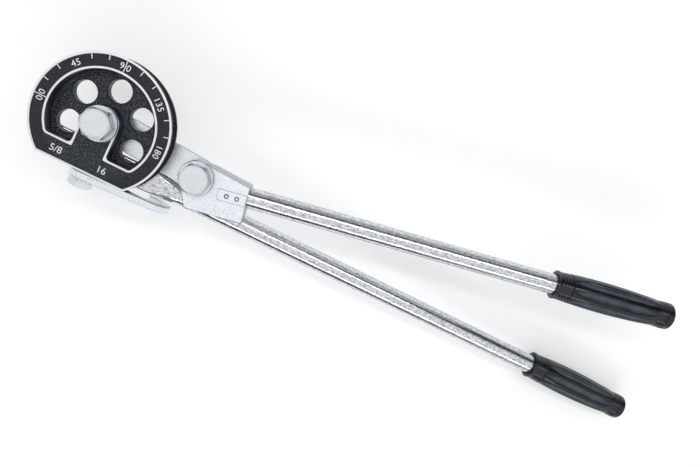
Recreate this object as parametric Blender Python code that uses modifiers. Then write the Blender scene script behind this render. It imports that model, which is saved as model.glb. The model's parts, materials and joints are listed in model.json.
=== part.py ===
"""Lever tube bender for 16 mm (5/8 inch) tube.

Metres, +Z up along the form wheel's axis, +X towards the form handle's grip. The origin is on the
wheel's axis, at the end of the pivot bolt.
"""

import math

import bmesh
import bpy
from mathutils import Matrix, Vector

# Gap between pieces that touch, and the overrun of every cutter
CLEARANCE = 0.0003
OVERRUN = 0.004

# Points closer than this are one point
WELD_DISTANCE = 0.000002

# Tube that the tool bends, and its bend
BENT_TUBE_DIAMETER = 0.016
BEND_RADIUS = 0.05715
GROOVE_PLAY = 0.0001

# Form wheel
RIM_PAST_BEND = 0.00075
RIM_CHAMFER = 0.0006
CHORD_PAST_FLAT = 0.0027
RAISED_LINE_WIDTH = 0.0022
RAISED_LINE_HEIGHT = 0.0006
SCALE_WIDTH = 0.0136
RECESS_DEPTH = 0.0136
RECESS_FLOOR_EDGE = 0.0250
RECESS_CORNER = 0.0035
HUB_RADIUS = 0.0152
LIGHTENING_HOLE_MARGIN = 0.00455
LIGHTENING_HOLE_SHIFT = 0.00065
LIGHTENING_HOLE_COUNT = 5
LIGHTENING_HOLE_STEP = math.radians(56)
TICK_STEP = math.radians(15)
TICK_COUNT = 13
LONG_TICK_EVERY = 6
TICKLESS_MARKS = (3, 9, 12)
TICK_WIDTH = 0.0009
SHORT_TICK_LENGTH = 0.0042

# Link between the wheel's axis and the shoe's axis
LINK_REST_ANGLE = math.radians(-3.67)
LINK_WIDTH = 0.0296
LINK_THICKNESS = 0.0060

# Bolts, nuts and washers of the two main pivots
MAIN_BOLT_RADIUS = 0.0080
MAIN_HEX_ACROSS_FLATS = 0.0240
MAIN_HEAD_HEIGHT = 0.0100
MAIN_NUT_HEIGHT = 0.0130
BOLT_TAIL = 0.0026
BOLT_TAIL_CHAMFER = 0.0010
FRONT_WASHER_RADIUS = 0.0150
BACK_WASHER_RADIUS = 0.0130
WASHER_THICKNESS = 0.0027
WASHER_CHAMFER = 0.0004
HEX_CHAMFER = 0.0010
BUSH_WALL = 0.0017
PIVOT_HEAD_TURN = math.radians(6.5)
SHOE_HEAD_TURN = math.radians(10)

# Shoe block
SHOE_REST_ANGLE = math.radians(10.8)
THRUST_WASHER_THICKNESS = 0.00055
SOCKET_WALL = 0.001275
SHOE_GROOVE_OFFSET = 0.03135
BLOCK_NOSE_RADIUS = 0.0155
BLOCK_END = 0.0465
BLOCK_TO_GROOVE_AXIS = 0.00395
BLOCK_TOP_AT_END = 0.0059
BLOCK_TOP_AT_NOSE = 0.0135
BLOCK_TOP_NOSE_START = 0.0130
BLOCK_HEEL_START = 0.0050
BLOCK_HEEL_CHAMFER = 0.0028
BLOCK_EDGE_ROUND = 0.0011
PAD_TO_END = 0.0013
PAD_OFFSET = 0.0077
PAD_LENGTH = 0.0254
PAD_WIDTH = 0.0100
PAD_HEIGHT = 0.0004
PIN_RADIUS = 0.00175
PIN_SPACING = 0.0091
PIN_REACH = 0.0045
PIN_PROUD = 0.0005

# Handle tubes
HANDLE_RADIUS = 0.009525
HANDLE_WALL = 0.0016
SHOE_HANDLE_OFFSET = 0.00495
SHOE_HANDLE_RISE = math.radians(1.0)
SOCKET_DEPTH = 0.0240
SHOE_GRIP_START = 0.3343
FORM_HANDLE_FALL = math.radians(3.5)
FORM_HANDLE_TURN = math.radians(-0.65)
LINK_TO_HANDLE = 0.00051
FORM_HANDLE_DROP = 0.0122
LINK_TO_FLAT = 0.0039
FORM_FLAT_WIDTH = 0.0220
FORM_FLAT_THICKNESS = 0.0044
FORM_FLAT_START = 0.0360
FORM_FLAT_END = 0.0450
FORM_ROUND_START = 0.0880
FORM_GRIP_START = 0.3774
FORM_SCREW_SPREAD = 0.0200
FORM_SCREW_RADIUS = 0.0040
FORM_SCREW_ACROSS_FLATS = 0.0130
FORM_SCREW_HEAD = 0.0053
FORM_SCREW_REACH = 0.0088

# Fluted grips
GRIP_LENGTH = 0.1160
GRIP_LIP_WALL = 0.003875
GRIP_COLLAR_WALL = 0.003375
GRIP_BELLY_WALL = 0.005175
GRIP_NECK_WALL = 0.002875
GRIP_KNOB_WALL = 0.003175
GRIP_KNOB_LENGTH = 0.0026
GRIP_END_WALL = 0.0050
GRIP_RING_DEPTH = 0.0006
GRIP_RING_PITCH = 0.0028
GRIP_FRONT_RINGS = 4
GRIP_BACK_RINGS = 3
GRIP_FRONT_RING_START = 0.0030
GRIP_FLUTES = 8
GRIP_FLUTE_WIDTH = 0.0052
GRIP_FLUTE_DEPTH = 0.0015
GRIP_FLUTE_LEAD = 0.0018
GRIP_FLUTE_RUNOUT = 0.0020
GRIP_END_ROUND = 0.0020
GRIP_FLUTE_SHARES = ((0, 0), (0.08, 0.6), (0.22, 1), (0.4, 1), (0.7, 1), (0.92, 0.6), (1, 0))

# Tube hook
HOOK_THICKNESS = 0.0060
HOOK_PIVOT_X = 0.0015
HOOK_REST_ANGLE = math.radians(-15.8)
HOOK_BOSS_RADIUS = 0.0120
HOOK_THROAT_RADIUS = 0.00875
HOOK_ARM_WIDTH = 0.00875
HOOK_BAR_WIDTH = 0.0125
HOOK_TIP_LENGTH = 0.0016
HOOK_EDGE_ROUND = 0.0006
HOOK_BOLT_RADIUS = 0.0060
HOOK_BOLT_ACROSS_FLATS = 0.0180
HOOK_BOLT_HEAD = 0.0055
HOOK_BOLT_REACH = 0.0150
HOOK_WASHER_RADIUS = 0.0105
HOOK_WASHER_THICKNESS = 0.0015

# Facets of round shapes
WHEEL_STEPS = 72
ROUND_STEPS = 32
HOLE_STEPS = 28
SMALL_STEPS = 16

# Thicknesses that follow from the handle's socket in the block
BLOCK_THICKNESS = 2 * (HANDLE_RADIUS + SOCKET_WALL)
WHEEL_THICKNESS = BLOCK_THICKNESS + 2 * (THRUST_WASHER_THICKNESS + CLEARANCE)

# Heights of the stack on the pivot bolt, from its end upwards
NUT_BOTTOM = BOLT_TAIL
BACK_WASHER_BOTTOM = NUT_BOTTOM + MAIN_NUT_HEIGHT + CLEARANCE
LINK_BOTTOM = BACK_WASHER_BOTTOM + WASHER_THICKNESS + CLEARANCE
WHEEL_BOTTOM = LINK_BOTTOM + LINK_THICKNESS + CLEARANCE
WHEEL_TOP = WHEEL_BOTTOM + WHEEL_THICKNESS
GROOVE_HEIGHT = WHEEL_BOTTOM + WHEEL_THICKNESS / 2
FRONT_WASHER_BOTTOM = WHEEL_TOP + CLEARANCE
PIVOT_HEAD_BOTTOM = FRONT_WASHER_BOTTOM + WASHER_THICKNESS + CLEARANCE

# Heights of the stack on the shoe bolt
BLOCK_BOTTOM = GROOVE_HEIGHT - BLOCK_THICKNESS / 2
BLOCK_TOP = GROOVE_HEIGHT + BLOCK_THICKNESS / 2
SHOE_WASHER_BOTTOM = BLOCK_TOP + CLEARANCE
SHOE_HEAD_BOTTOM = SHOE_WASHER_BOTTOM + WASHER_THICKNESS + CLEARANCE
THRUST_WASHER_BOTTOM = LINK_BOTTOM + LINK_THICKNESS + CLEARANCE

# Sizes and places that follow from the driving ones
BORE_RADIUS = MAIN_BOLT_RADIUS + CLEARANCE
BUSH_RADIUS = BORE_RADIUS + BUSH_WALL
BUSHED_BORE_RADIUS = BUSH_RADIUS + CLEARANCE
GROOVE_RADIUS = BENT_TUBE_DIAMETER / 2 + GROOVE_PLAY / 2
RIM_RADIUS = BEND_RADIUS + RIM_PAST_BEND
RECESS_RADIUS = RIM_RADIUS - SCALE_WIDTH
LIGHTENING_HOLE_RADIUS = (RECESS_RADIUS - HUB_RADIUS) / 2 - LIGHTENING_HOLE_MARGIN
LIGHTENING_HOLE_CIRCLE = (RECESS_RADIUS + HUB_RADIUS) / 2 + LIGHTENING_HOLE_SHIFT
PIVOT_TO_SHOE = BEND_RADIUS + SHOE_GROOVE_OFFSET
BLOCK_GROOVE_EDGE = SHOE_GROOVE_OFFSET - BLOCK_TO_GROOVE_AXIS
PAD_CENTRE = BLOCK_END - PAD_TO_END - PAD_LENGTH / 2
SHOE_PIVOT = Vector((PIVOT_TO_SHOE * math.cos(LINK_REST_ANGLE),
                     PIVOT_TO_SHOE * math.sin(LINK_REST_ANGLE), 0))
FORM_HANDLE_SIDE = LINK_WIDTH / 2 - SHOE_PIVOT.y + LINK_TO_HANDLE + HANDLE_RADIUS
FORM_FLAT_SIDE = LINK_WIDTH / 2 + LINK_TO_FLAT + FORM_FLAT_WIDTH / 2
CHORD_DISTANCE = FORM_FLAT_SIDE + FORM_FLAT_WIDTH / 2 + CHORD_PAST_FLAT
HOOK_REACH = BEND_RADIUS + HOOK_PIVOT_X
HOOK_PLATE_Y = -(CHORD_DISTANCE + CLEARANCE + HOOK_THICKNESS / 2)
HOOK_WASHER_Y = -(CHORD_DISTANCE + 2 * CLEARANCE + HOOK_THICKNESS)
FORM_FLAT_TOP = WHEEL_BOTTOM - CLEARANCE
FORM_FLAT_HEIGHT = FORM_FLAT_TOP - FORM_FLAT_THICKNESS / 2
FORM_ROUND_HEIGHT = WHEEL_BOTTOM - FORM_HANDLE_DROP
GRIP_LIP_RADIUS = HANDLE_RADIUS + GRIP_LIP_WALL
GRIP_COLLAR_RADIUS = HANDLE_RADIUS + GRIP_COLLAR_WALL
GRIP_BELLY_RADIUS = HANDLE_RADIUS + GRIP_BELLY_WALL
GRIP_NECK_RADIUS = HANDLE_RADIUS + GRIP_NECK_WALL
GRIP_KNOB_RADIUS = HANDLE_RADIUS + GRIP_KNOB_WALL
GRIP_FLUTE_START = GRIP_FRONT_RING_START + GRIP_FRONT_RINGS * GRIP_RING_PITCH + GRIP_FLUTE_LEAD
GRIP_KNOB_START = GRIP_LENGTH - 2 * GRIP_END_ROUND - GRIP_KNOB_LENGTH
GRIP_BACK_RING_START = GRIP_KNOB_START - GRIP_BACK_RINGS * GRIP_RING_PITCH
GRIP_FLUTE_END = GRIP_BACK_RING_START - GRIP_FLUTE_RUNOUT


def start_collection(name):
    """An empty collection in the scene."""
    collection = bpy.data.collections.new(name)
    bpy.context.scene.collection.children.link(collection)
    return collection


def clear_scene():
    for item in list(bpy.data.objects):
        bpy.data.objects.remove(item, do_unlink=True)
    for collection in list(bpy.data.collections):
        bpy.data.collections.remove(collection)


clear_scene()
PARTS = start_collection("lever_tube_bender")
CUTTERS = start_collection("cutters")


def finish(name, colour, roughness, metallic):
    material = bpy.data.materials.new(name)
    material.use_nodes = True
    shader = material.node_tree.nodes["Principled BSDF"]
    shader.inputs["Base Color"].default_value = (*colour, 1)
    shader.inputs["Roughness"].default_value = roughness
    shader.inputs["Metallic"].default_value = metallic
    return material


def place(name, mesh, collection=PARTS, material=None, smooth=True):
    """An object of a mesh in a collection, with round faces shaded smooth."""
    item = bpy.data.objects.new(name, mesh)
    collection.objects.link(item)
    if material is not None:
        mesh.materials.append(material)
    if smooth:
        mesh.shade_smooth()
        mesh.set_sharp_from_angle(angle=math.radians(30))
    if collection is CUTTERS:
        item.hide_render = True
        item.display_type = "WIRE"
    return item


def turned(name, profile, steps, collection=PARTS, material=None, closed=True):
    """A profile of (radius, height) points turned about Z; a closed one makes a ring."""
    mesh = bpy.data.meshes.new(name)
    points = [(radius, 0, height) for radius, height in profile]
    edges = [(i, i + 1) for i in range(len(points) - 1)]
    if closed:
        edges.append((len(points) - 1, 0))
    mesh.from_pydata(points, edges, [])
    item = place(name, mesh, collection, material, smooth=False)
    screw = item.modifiers.new("turn", "SCREW")
    screw.steps = steps
    screw.render_steps = steps
    screw.use_merge_vertices = True
    screw.merge_threshold = WELD_DISTANCE
    screw.use_smooth_shade = True
    freeze(item)
    return item


def freeze(item):
    """Give an object the mesh that its modifiers make."""
    bpy.context.view_layer.update()
    evaluated = item.evaluated_get(bpy.context.evaluated_depsgraph_get())
    mesh = bpy.data.meshes.new_from_object(evaluated)
    item.modifiers.clear()
    item.data = mesh
    weld(mesh)
    mesh.shade_smooth()
    mesh.set_sharp_from_angle(angle=math.radians(30))


def weld(mesh):
    shape = bmesh.new()
    shape.from_mesh(mesh)
    bmesh.ops.remove_doubles(shape, verts=shape.verts, dist=WELD_DISTANCE)
    bmesh.ops.recalc_face_normals(shape, faces=shape.faces)
    shape.to_mesh(mesh)
    shape.free()


def ring(name, outer, inner, bottom, thickness, steps, collection=PARTS, material=None, chamfer=0):
    """A washer or bush: a turned ring, with its upper outer edge chamfered if asked."""
    top = bottom + thickness
    corner = [(outer - chamfer, top), (outer, top - chamfer)] if chamfer else [(outer, top)]
    profile = [(inner, top), *corner, (outer, bottom), (inner, bottom)]
    return turned(name, profile, steps, collection, material)


def rod(name, radius, bottom, top, steps=HOLE_STEPS, collection=CUTTERS, material=None):
    """A plain cylinder along Z, between two heights."""
    shape = bmesh.new()
    bmesh.ops.create_cone(shape, cap_ends=True, segments=steps, radius1=radius, radius2=radius,
                          depth=top - bottom)
    bmesh.ops.translate(shape, verts=shape.verts, vec=(0, 0, (top + bottom) / 2))
    mesh = bpy.data.meshes.new(name)
    shape.to_mesh(mesh)
    shape.free()
    return place(name, mesh, collection, material)


def block(name, low, high, collection=CUTTERS, material=None):
    """A box between two corners."""
    shape = bmesh.new()
    bmesh.ops.create_cube(shape, size=1)
    size = Vector(high) - Vector(low)
    bmesh.ops.scale(shape, vec=size, verts=shape.verts)
    bmesh.ops.translate(shape, verts=shape.verts, vec=(Vector(high) + Vector(low)) / 2)
    mesh = bpy.data.meshes.new(name)
    shape.to_mesh(mesh)
    shape.free()
    return place(name, mesh, collection, material, smooth=False)


def plate(name, outlines, bottom, thickness, collection=PARTS, material=None):
    """A flat outline, with its holes as further outlines, given a thickness upwards from a height."""
    curve = bpy.data.curves.new(name, "CURVE")
    curve.dimensions = "2D"
    curve.fill_mode = "BOTH"
    curve.extrude = thickness / 2
    for outline in outlines:
        spline = curve.splines.new("POLY")
        spline.points.add(len(outline) - 1)
        for point, (x, y) in zip(spline.points, outline):
            point.co = (x, y, 0, 1)
        spline.use_cyclic_u = True
    drawn = bpy.data.objects.new(name + "_outline", curve)
    CUTTERS.objects.link(drawn)
    bpy.context.view_layer.update()
    mesh = bpy.data.meshes.new_from_object(drawn.evaluated_get(bpy.context.evaluated_depsgraph_get()))
    bpy.data.objects.remove(drawn, do_unlink=True)
    weld(mesh)
    mesh.transform(Matrix.Translation((0, 0, bottom + thickness / 2)))
    return place(name, mesh, collection, material)


def combine(item, tool, operation="DIFFERENCE"):
    """Cut, join or trim an object with another by an exact Boolean."""
    step = item.modifiers.new(tool.name, "BOOLEAN")
    step.operation = operation
    step.solver = "EXACT"
    step.object = tool


def soften(item, width, segments=2, angle=math.radians(40)):
    """Round an object's sharp edges."""
    bevel = item.modifiers.new("edge_round", "BEVEL")
    bevel.width = width
    bevel.segments = segments
    bevel.limit_method = "ANGLE"
    bevel.angle_limit = angle


def arc(centre, radius, start, end, count):
    """Points on an arc, both ends included."""
    return [(centre[0] + radius * math.cos(start + (end - start) * i / count),
             centre[1] + radius * math.sin(start + (end - start) * i / count))
            for i in range(count + 1)]


def rounded(corners, steps=4):
    """An outline of (x, y, radius) corners, each rounded to its radius."""
    outline = []
    for i, (x, y, radius) in enumerate(corners):
        here = Vector((x, y))
        before = (Vector(corners[i - 1][:2]) - here).normalized()
        after = (Vector(corners[(i + 1) % len(corners)][:2]) - here).normalized()
        if not radius:
            outline.append((x, y))
            continue
        half = before.angle(after) / 2
        reach = radius / math.tan(half)
        centre = here + (before + after).normalized() * radius / math.sin(half)
        first = here + before * reach - centre
        last = here + after * reach - centre
        sweep = first.angle_signed(last)
        for k in range(steps + 1):
            turn = Matrix.Rotation(-sweep * k / steps, 2)
            outline.append(tuple(centre + turn @ first))
    return outline


def hexagon(across_flats, turn):
    corner = across_flats / math.sqrt(3)
    return [(corner * math.cos(turn + i * math.pi / 3), corner * math.sin(turn + i * math.pi / 3))
            for i in range(6)]


def hex_envelope(name, across_flats, bottom, height, inner, both_ends):
    """The turned body that chamfers a hexagon's corners, with a bore if inner isn't zero."""
    corner = across_flats / math.sqrt(3) + HEX_CHAMFER / 2
    flat = across_flats / 2 - HEX_CHAMFER / 2
    drop = (corner - flat) * math.tan(math.radians(30))
    top = bottom + height
    profile = [(flat, top), (corner, top - drop)]
    profile += [(corner, bottom + drop), (flat, bottom)] if both_ends else [(corner, bottom)]
    profile = [(inner, top)] + profile + [(inner, bottom)]
    return turned(name, profile, ROUND_STEPS, CUTTERS, closed=bool(inner))


def hex_bolt(name, radius, across_flats, head_bottom, head_height, tail, turn, material):
    """A bolt along Z with its head on top and its shank down to the height of its tail."""
    head = plate(name, [hexagon(across_flats, turn)], head_bottom, head_height, PARTS, material)
    combine(head, hex_envelope(name + "_chamfer", across_flats, head_bottom, head_height, 0, False),
            "INTERSECT")
    chamfer = min(BOLT_TAIL_CHAMFER, radius / 4)
    shank_top = head_bottom + head_height / 2
    profile = [(0, shank_top), (radius, shank_top), (radius, tail + chamfer),
               (radius - chamfer, tail), (0, tail)]
    combine(head, turned(name + "_shank", profile, HOLE_STEPS, CUTTERS, closed=False), "UNION")
    freeze(head)
    return head


def hex_nut(name, across_flats, bottom, height, turn, material):
    """A nut along Z, chamfered at both ends."""
    nut = plate(name, [hexagon(across_flats, turn)], bottom, height, PARTS, material)
    combine(nut, hex_envelope(name + "_chamfer", across_flats, bottom, height, BORE_RADIUS, True),
            "INTERSECT")
    freeze(nut)
    return nut


def recess_outline(grow):
    """The recess in the wheel's face, round the hub and its pedestal, grown outwards by an offset."""
    radius = RECESS_RADIUS + grow
    bottom = -(RECESS_FLOOR_EDGE + grow)
    side = HUB_RADIUS - grow
    corner_angle = math.asin(bottom / radius)
    lead = RECESS_CORNER / radius * 2
    corner_x = radius * math.cos(corner_angle)
    rim = arc((0, 0), radius, corner_angle + lead, math.pi - corner_angle - lead, WHEEL_STEPS // 2)
    hub = arc((0, 0), side, math.pi, 0, ROUND_STEPS // 2)
    corners = [(x, y, 0) for x, y in rim]
    corners += [(-corner_x, bottom, RECESS_CORNER), (-side, bottom, RECESS_CORNER)]
    corners += [(x, y, 0) for x, y in hub]
    corners += [(side, bottom, RECESS_CORNER), (corner_x, bottom, RECESS_CORNER)]
    return rounded(corners)


def make_form_wheel(material):
    """The cast wheel: rim groove, chord, raised lines and ticks, recess, holes and hub."""
    half_mouth = math.sqrt(GROOVE_RADIUS ** 2 - (RIM_RADIUS - BEND_RADIUS) ** 2)
    start = math.atan2(half_mouth, RIM_RADIUS - BEND_RADIUS)
    groove = arc((BEND_RADIUS, GROOVE_HEIGHT), GROOVE_RADIUS, start, math.tau - start, 8)
    profile = [(BORE_RADIUS, WHEEL_TOP), (RIM_RADIUS - RIM_CHAMFER, WHEEL_TOP),
               (RIM_RADIUS, WHEEL_TOP - RIM_CHAMFER)]
    profile += groove
    profile += [(RIM_RADIUS, WHEEL_BOTTOM + RIM_CHAMFER), (RIM_RADIUS - RIM_CHAMFER, WHEEL_BOTTOM),
                (BORE_RADIUS, WHEEL_BOTTOM)]
    wheel = turned("form_wheel", profile, WHEEL_STEPS, PARTS, material)

    reach = RIM_RADIUS + OVERRUN
    below = block("wheel_chord_cut", (-reach, -reach, WHEEL_BOTTOM - OVERRUN),
                  (reach, -CHORD_DISTANCE, WHEEL_TOP + OVERRUN))
    combine(wheel, below)
    recess = plate("wheel_recess_cut", [recess_outline(0)], WHEEL_TOP - RECESS_DEPTH,
                   RECESS_DEPTH + OVERRUN, CUTTERS)
    combine(wheel, recess)
    for i in range(LIGHTENING_HOLE_COUNT):
        angle = math.pi / 2 + (i - LIGHTENING_HOLE_COUNT // 2) * LIGHTENING_HOLE_STEP
        hole = rod(f"wheel_hole_cut_{i + 1}", LIGHTENING_HOLE_RADIUS, WHEEL_BOTTOM - OVERRUN,
                   WHEEL_TOP - RECESS_DEPTH + OVERRUN)
        hole.location = (LIGHTENING_HOLE_CIRCLE * math.cos(angle),
                         LIGHTENING_HOLE_CIRCLE * math.sin(angle), 0)
        combine(wheel, hole)
    combine(wheel, make_face_pocket())

    for side in (-1, 1):
        hole = rod(f"wheel_screw_cut_{side + 2}", FORM_SCREW_RADIUS + CLEARANCE,
                   WHEEL_BOTTOM - OVERRUN, WHEEL_BOTTOM + FORM_SCREW_REACH + CLEARANCE, SMALL_STEPS)
        hole.location = (side * FORM_SCREW_SPREAD, -FORM_FLAT_SIDE, 0)
        combine(wheel, hole)
    hole = rod("wheel_hook_bolt_cut", HOOK_BOLT_RADIUS + CLEARANCE, -OVERRUN,
               HOOK_BOLT_REACH + CLEARANCE, SMALL_STEPS)
    hole.location = (HOOK_PIVOT_X, -CHORD_DISTANCE, GROOVE_HEIGHT)
    hole.rotation_euler = (-math.pi / 2, 0, 0)
    combine(wheel, hole)
    freeze(wheel)
    return wheel


def make_face_pocket():
    """The shallow cut that leaves the wheel's rings, recess border, hub face and ticks standing."""
    floor = WHEEL_TOP - RAISED_LINE_HEIGHT
    ring_inner = RIM_RADIUS - RAISED_LINE_WIDTH
    pocket = rod("wheel_face_cut", ring_inner, floor, WHEEL_TOP + OVERRUN, WHEEL_STEPS)
    reach = RIM_RADIUS + OVERRUN
    lower = block("wheel_face_chord", (-reach, -reach, floor - OVERRUN),
                  (reach, RAISED_LINE_WIDTH - CHORD_DISTANCE, WHEEL_TOP + 2 * OVERRUN))
    combine(pocket, lower)
    border = plate("wheel_face_border", [recess_outline(RAISED_LINE_WIDTH)], floor - OVERRUN,
                   3 * OVERRUN, CUTTERS)
    combine(pocket, border)
    hub = rod("wheel_face_hub", HUB_RADIUS, floor - OVERRUN, WHEEL_TOP + 2 * OVERRUN, ROUND_STEPS)
    combine(pocket, hub)
    for i in range(TICK_COUNT):
        if i in TICKLESS_MARKS:
            continue
        length = SHORT_TICK_LENGTH
        if i % LONG_TICK_EVERY == 0:
            length = ring_inner - RECESS_RADIUS - RAISED_LINE_WIDTH / 2
        tick = block(f"wheel_tick_{i * 15}", (-TICK_WIDTH / 2, ring_inner - length, floor - OVERRUN),
                     (TICK_WIDTH / 2, ring_inner + RAISED_LINE_WIDTH, WHEEL_TOP + 2 * OVERRUN))
        tick.rotation_euler = (0, 0, math.pi / 2 - i * TICK_STEP)
        combine(pocket, tick)
    freeze(pocket)
    return pocket


def make_pivot_stack(steel):
    """The bolt on the wheel's axis, with its washers and nut."""
    hex_bolt("pivot_bolt", MAIN_BOLT_RADIUS, MAIN_HEX_ACROSS_FLATS, PIVOT_HEAD_BOTTOM,
             MAIN_HEAD_HEIGHT, 0, PIVOT_HEAD_TURN, steel)
    ring("pivot_washer_front", FRONT_WASHER_RADIUS, BORE_RADIUS, FRONT_WASHER_BOTTOM,
         WASHER_THICKNESS, ROUND_STEPS, PARTS, steel, WASHER_CHAMFER)
    ring("pivot_washer_back", BACK_WASHER_RADIUS, BORE_RADIUS, BACK_WASHER_BOTTOM,
         WASHER_THICKNESS, HOLE_STEPS, PARTS, steel)
    hex_nut("pivot_nut", MAIN_HEX_ACROSS_FLATS, NUT_BOTTOM, MAIN_NUT_HEIGHT, 0, steel)


def make_link(plated, bronze):
    """The strap behind the wheel and its bush, drawn along X and turned to its rest angle."""
    half = LINK_WIDTH / 2
    outline = arc((0, 0), half, math.pi / 2, math.pi * 3 / 2, 16)
    outline += arc((PIVOT_TO_SHOE, 0), half, -math.pi / 2, math.pi / 2, 16)
    pivot_bore = arc((0, 0), BUSHED_BORE_RADIUS, 0, math.tau, HOLE_STEPS)[:-1]
    shoe_bore = arc((PIVOT_TO_SHOE, 0), BORE_RADIUS, 0, math.tau, HOLE_STEPS)[:-1]
    link = plate("link_plate", [outline, pivot_bore, shoe_bore], LINK_BOTTOM, LINK_THICKNESS,
                 PARTS, plated)
    link.rotation_euler = (0, 0, LINK_REST_ANGLE)
    ring("link_bush", BUSH_RADIUS, BORE_RADIUS, LINK_BOTTOM, LINK_THICKNESS, HOLE_STEPS,
         PARTS, bronze)


def make_shoe_stack(steel, bronze):
    """The bolt that carries the shoe block on the link, with its washers, nut and bush."""
    pieces = [
        hex_bolt("shoe_bolt", MAIN_BOLT_RADIUS, MAIN_HEX_ACROSS_FLATS, SHOE_HEAD_BOTTOM,
                 MAIN_HEAD_HEIGHT, BOLT_TAIL_CHAMFER, SHOE_HEAD_TURN, steel),
        ring("shoe_washer_front", FRONT_WASHER_RADIUS, BORE_RADIUS, SHOE_WASHER_BOTTOM,
             WASHER_THICKNESS, ROUND_STEPS, PARTS, steel, WASHER_CHAMFER),
        ring("shoe_washer_back", BACK_WASHER_RADIUS, BORE_RADIUS, BACK_WASHER_BOTTOM,
             WASHER_THICKNESS, HOLE_STEPS, PARTS, steel),
        hex_nut("shoe_nut", MAIN_HEX_ACROSS_FLATS, NUT_BOTTOM, MAIN_NUT_HEIGHT, 0, steel),
        ring("shoe_bush", BUSH_RADIUS, BORE_RADIUS, BLOCK_BOTTOM, BLOCK_THICKNESS, HOLE_STEPS,
             PARTS, bronze),
        ring("shoe_thrust_washer", BACK_WASHER_RADIUS, BORE_RADIUS, THRUST_WASHER_BOTTOM,
             THRUST_WASHER_THICKNESS, HOLE_STEPS, PARTS, bronze),
    ]
    for piece in pieces:
        piece.location = SHOE_PIVOT


def shoe_frame():
    """The empty on the shoe's axis: +X along the shoe handle, -Y towards the groove."""
    empty = bpy.data.objects.new("shoe_axis", None)
    PARTS.objects.link(empty)
    empty.location = SHOE_PIVOT
    empty.rotation_euler = (0, 0, SHOE_REST_ANGLE)
    return empty


def block_outline():
    """The shoe block seen from the front, about the shoe bolt, with the groove edge along -Y."""
    nose_start = math.radians(102)
    nose_end = math.radians(224)
    nose = arc((0, 0), BLOCK_NOSE_RADIUS, nose_start, nose_end, 14)
    corners = [(x, y, 0) for x, y in nose]
    corners += [
        (-BLOCK_HEEL_START, BLOCK_HEEL_CHAMFER / 2 - BLOCK_GROOVE_EDGE, 0),
        (BLOCK_HEEL_CHAMFER - BLOCK_HEEL_START, -BLOCK_GROOVE_EDGE, 0),
        (BLOCK_END, -BLOCK_GROOVE_EDGE, BLOCK_EDGE_ROUND),
        (BLOCK_END, BLOCK_TOP_AT_END, 2 * BLOCK_EDGE_ROUND),
        (BLOCK_TOP_NOSE_START, BLOCK_TOP_AT_NOSE, 4 * BLOCK_EDGE_ROUND),
    ]
    return rounded(corners)


def make_shoe_block(material, steel, axis):
    """The casting with half of the tube groove, the handle's socket and the pinned pad."""
    body = plate("shoe_block", [block_outline()], BLOCK_BOTTOM, BLOCK_THICKNESS, PARTS, material)
    soften(body, BLOCK_EDGE_ROUND)
    pad = block("shoe_pad", (PAD_CENTRE - PAD_LENGTH / 2, -PAD_OFFSET - PAD_WIDTH / 2,
                             BLOCK_TOP - PAD_HEIGHT),
                (PAD_CENTRE + PAD_LENGTH / 2, PAD_WIDTH / 2 - PAD_OFFSET, BLOCK_TOP + PAD_HEIGHT))
    combine(body, pad, "UNION")
    bore = rod("shoe_bore_cut", BUSHED_BORE_RADIUS, BLOCK_BOTTOM - OVERRUN, BLOCK_TOP + OVERRUN)
    combine(body, bore)
    groove = rod("shoe_groove_cut", GROOVE_RADIUS, -BLOCK_END, 2 * BLOCK_END, ROUND_STEPS)
    groove.location = (0, -SHOE_GROOVE_OFFSET, GROOVE_HEIGHT)
    groove.rotation_euler = (0, math.pi / 2, 0)
    combine(body, groove)
    socket = rod("shoe_socket_cut", HANDLE_RADIUS + CLEARANCE, -SOCKET_DEPTH - CLEARANCE,
                 OVERRUN, ROUND_STEPS)
    socket.location = (BLOCK_END, -SHOE_HANDLE_OFFSET, GROOVE_HEIGHT)
    socket.rotation_euler = (0, math.pi / 2 - SHOE_HANDLE_RISE, 0)
    combine(body, socket)

    pieces = [body, pad, bore, groove, socket]
    tube = make_shoe_tube(steel)
    pieces.append(tube)
    for i, side in enumerate((-1, 1)):
        place_x = PAD_CENTRE + side * PIN_SPACING / 2
        bottom = BLOCK_TOP + PAD_HEIGHT + PIN_PROUD - PIN_REACH
        hole = rod(f"shoe_pin_cut_{i + 1}", PIN_RADIUS + CLEARANCE, bottom - CLEARANCE,
                   BLOCK_TOP + OVERRUN, SMALL_STEPS)
        pin = ring(f"shoe_pin_{i + 1}", PIN_RADIUS, PIN_RADIUS / 2, bottom, PIN_REACH,
                   SMALL_STEPS, PARTS, steel)
        for item in (hole, pin):
            item.location = (place_x, -PAD_OFFSET, 0)
        combine(body, hole)
        combine(tube, hole)
        pieces += [hole, pin]
    for item in pieces:
        item.parent = axis
    freeze(body)
    freeze(tube)


def make_shoe_tube(steel):
    """The shoe handle's tube, from the bottom of its socket to the end of its grip."""
    length = SHOE_GRIP_START + GRIP_LENGTH - GRIP_END_WALL - CLEARANCE - BLOCK_END
    tube = ring("shoe_tube", HANDLE_RADIUS, HANDLE_RADIUS - HANDLE_WALL, -SOCKET_DEPTH,
                SOCKET_DEPTH + length, ROUND_STEPS, PARTS, steel)
    tube.location = (BLOCK_END, -SHOE_HANDLE_OFFSET, GROOVE_HEIGHT)
    tube.rotation_euler = (0, math.pi / 2 - SHOE_HANDLE_RISE, 0)
    return tube


def flute_angles():
    """Angles round the grip: the two edges and the bottom of each flute."""
    half = GRIP_FLUTE_WIDTH / 2 / GRIP_BELLY_RADIUS
    angles = []
    for i in range(GRIP_FLUTES):
        middle = i * math.tau / GRIP_FLUTES
        angles += [middle - half, middle - half / 2, middle + half / 2, middle + half]
    return angles


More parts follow.
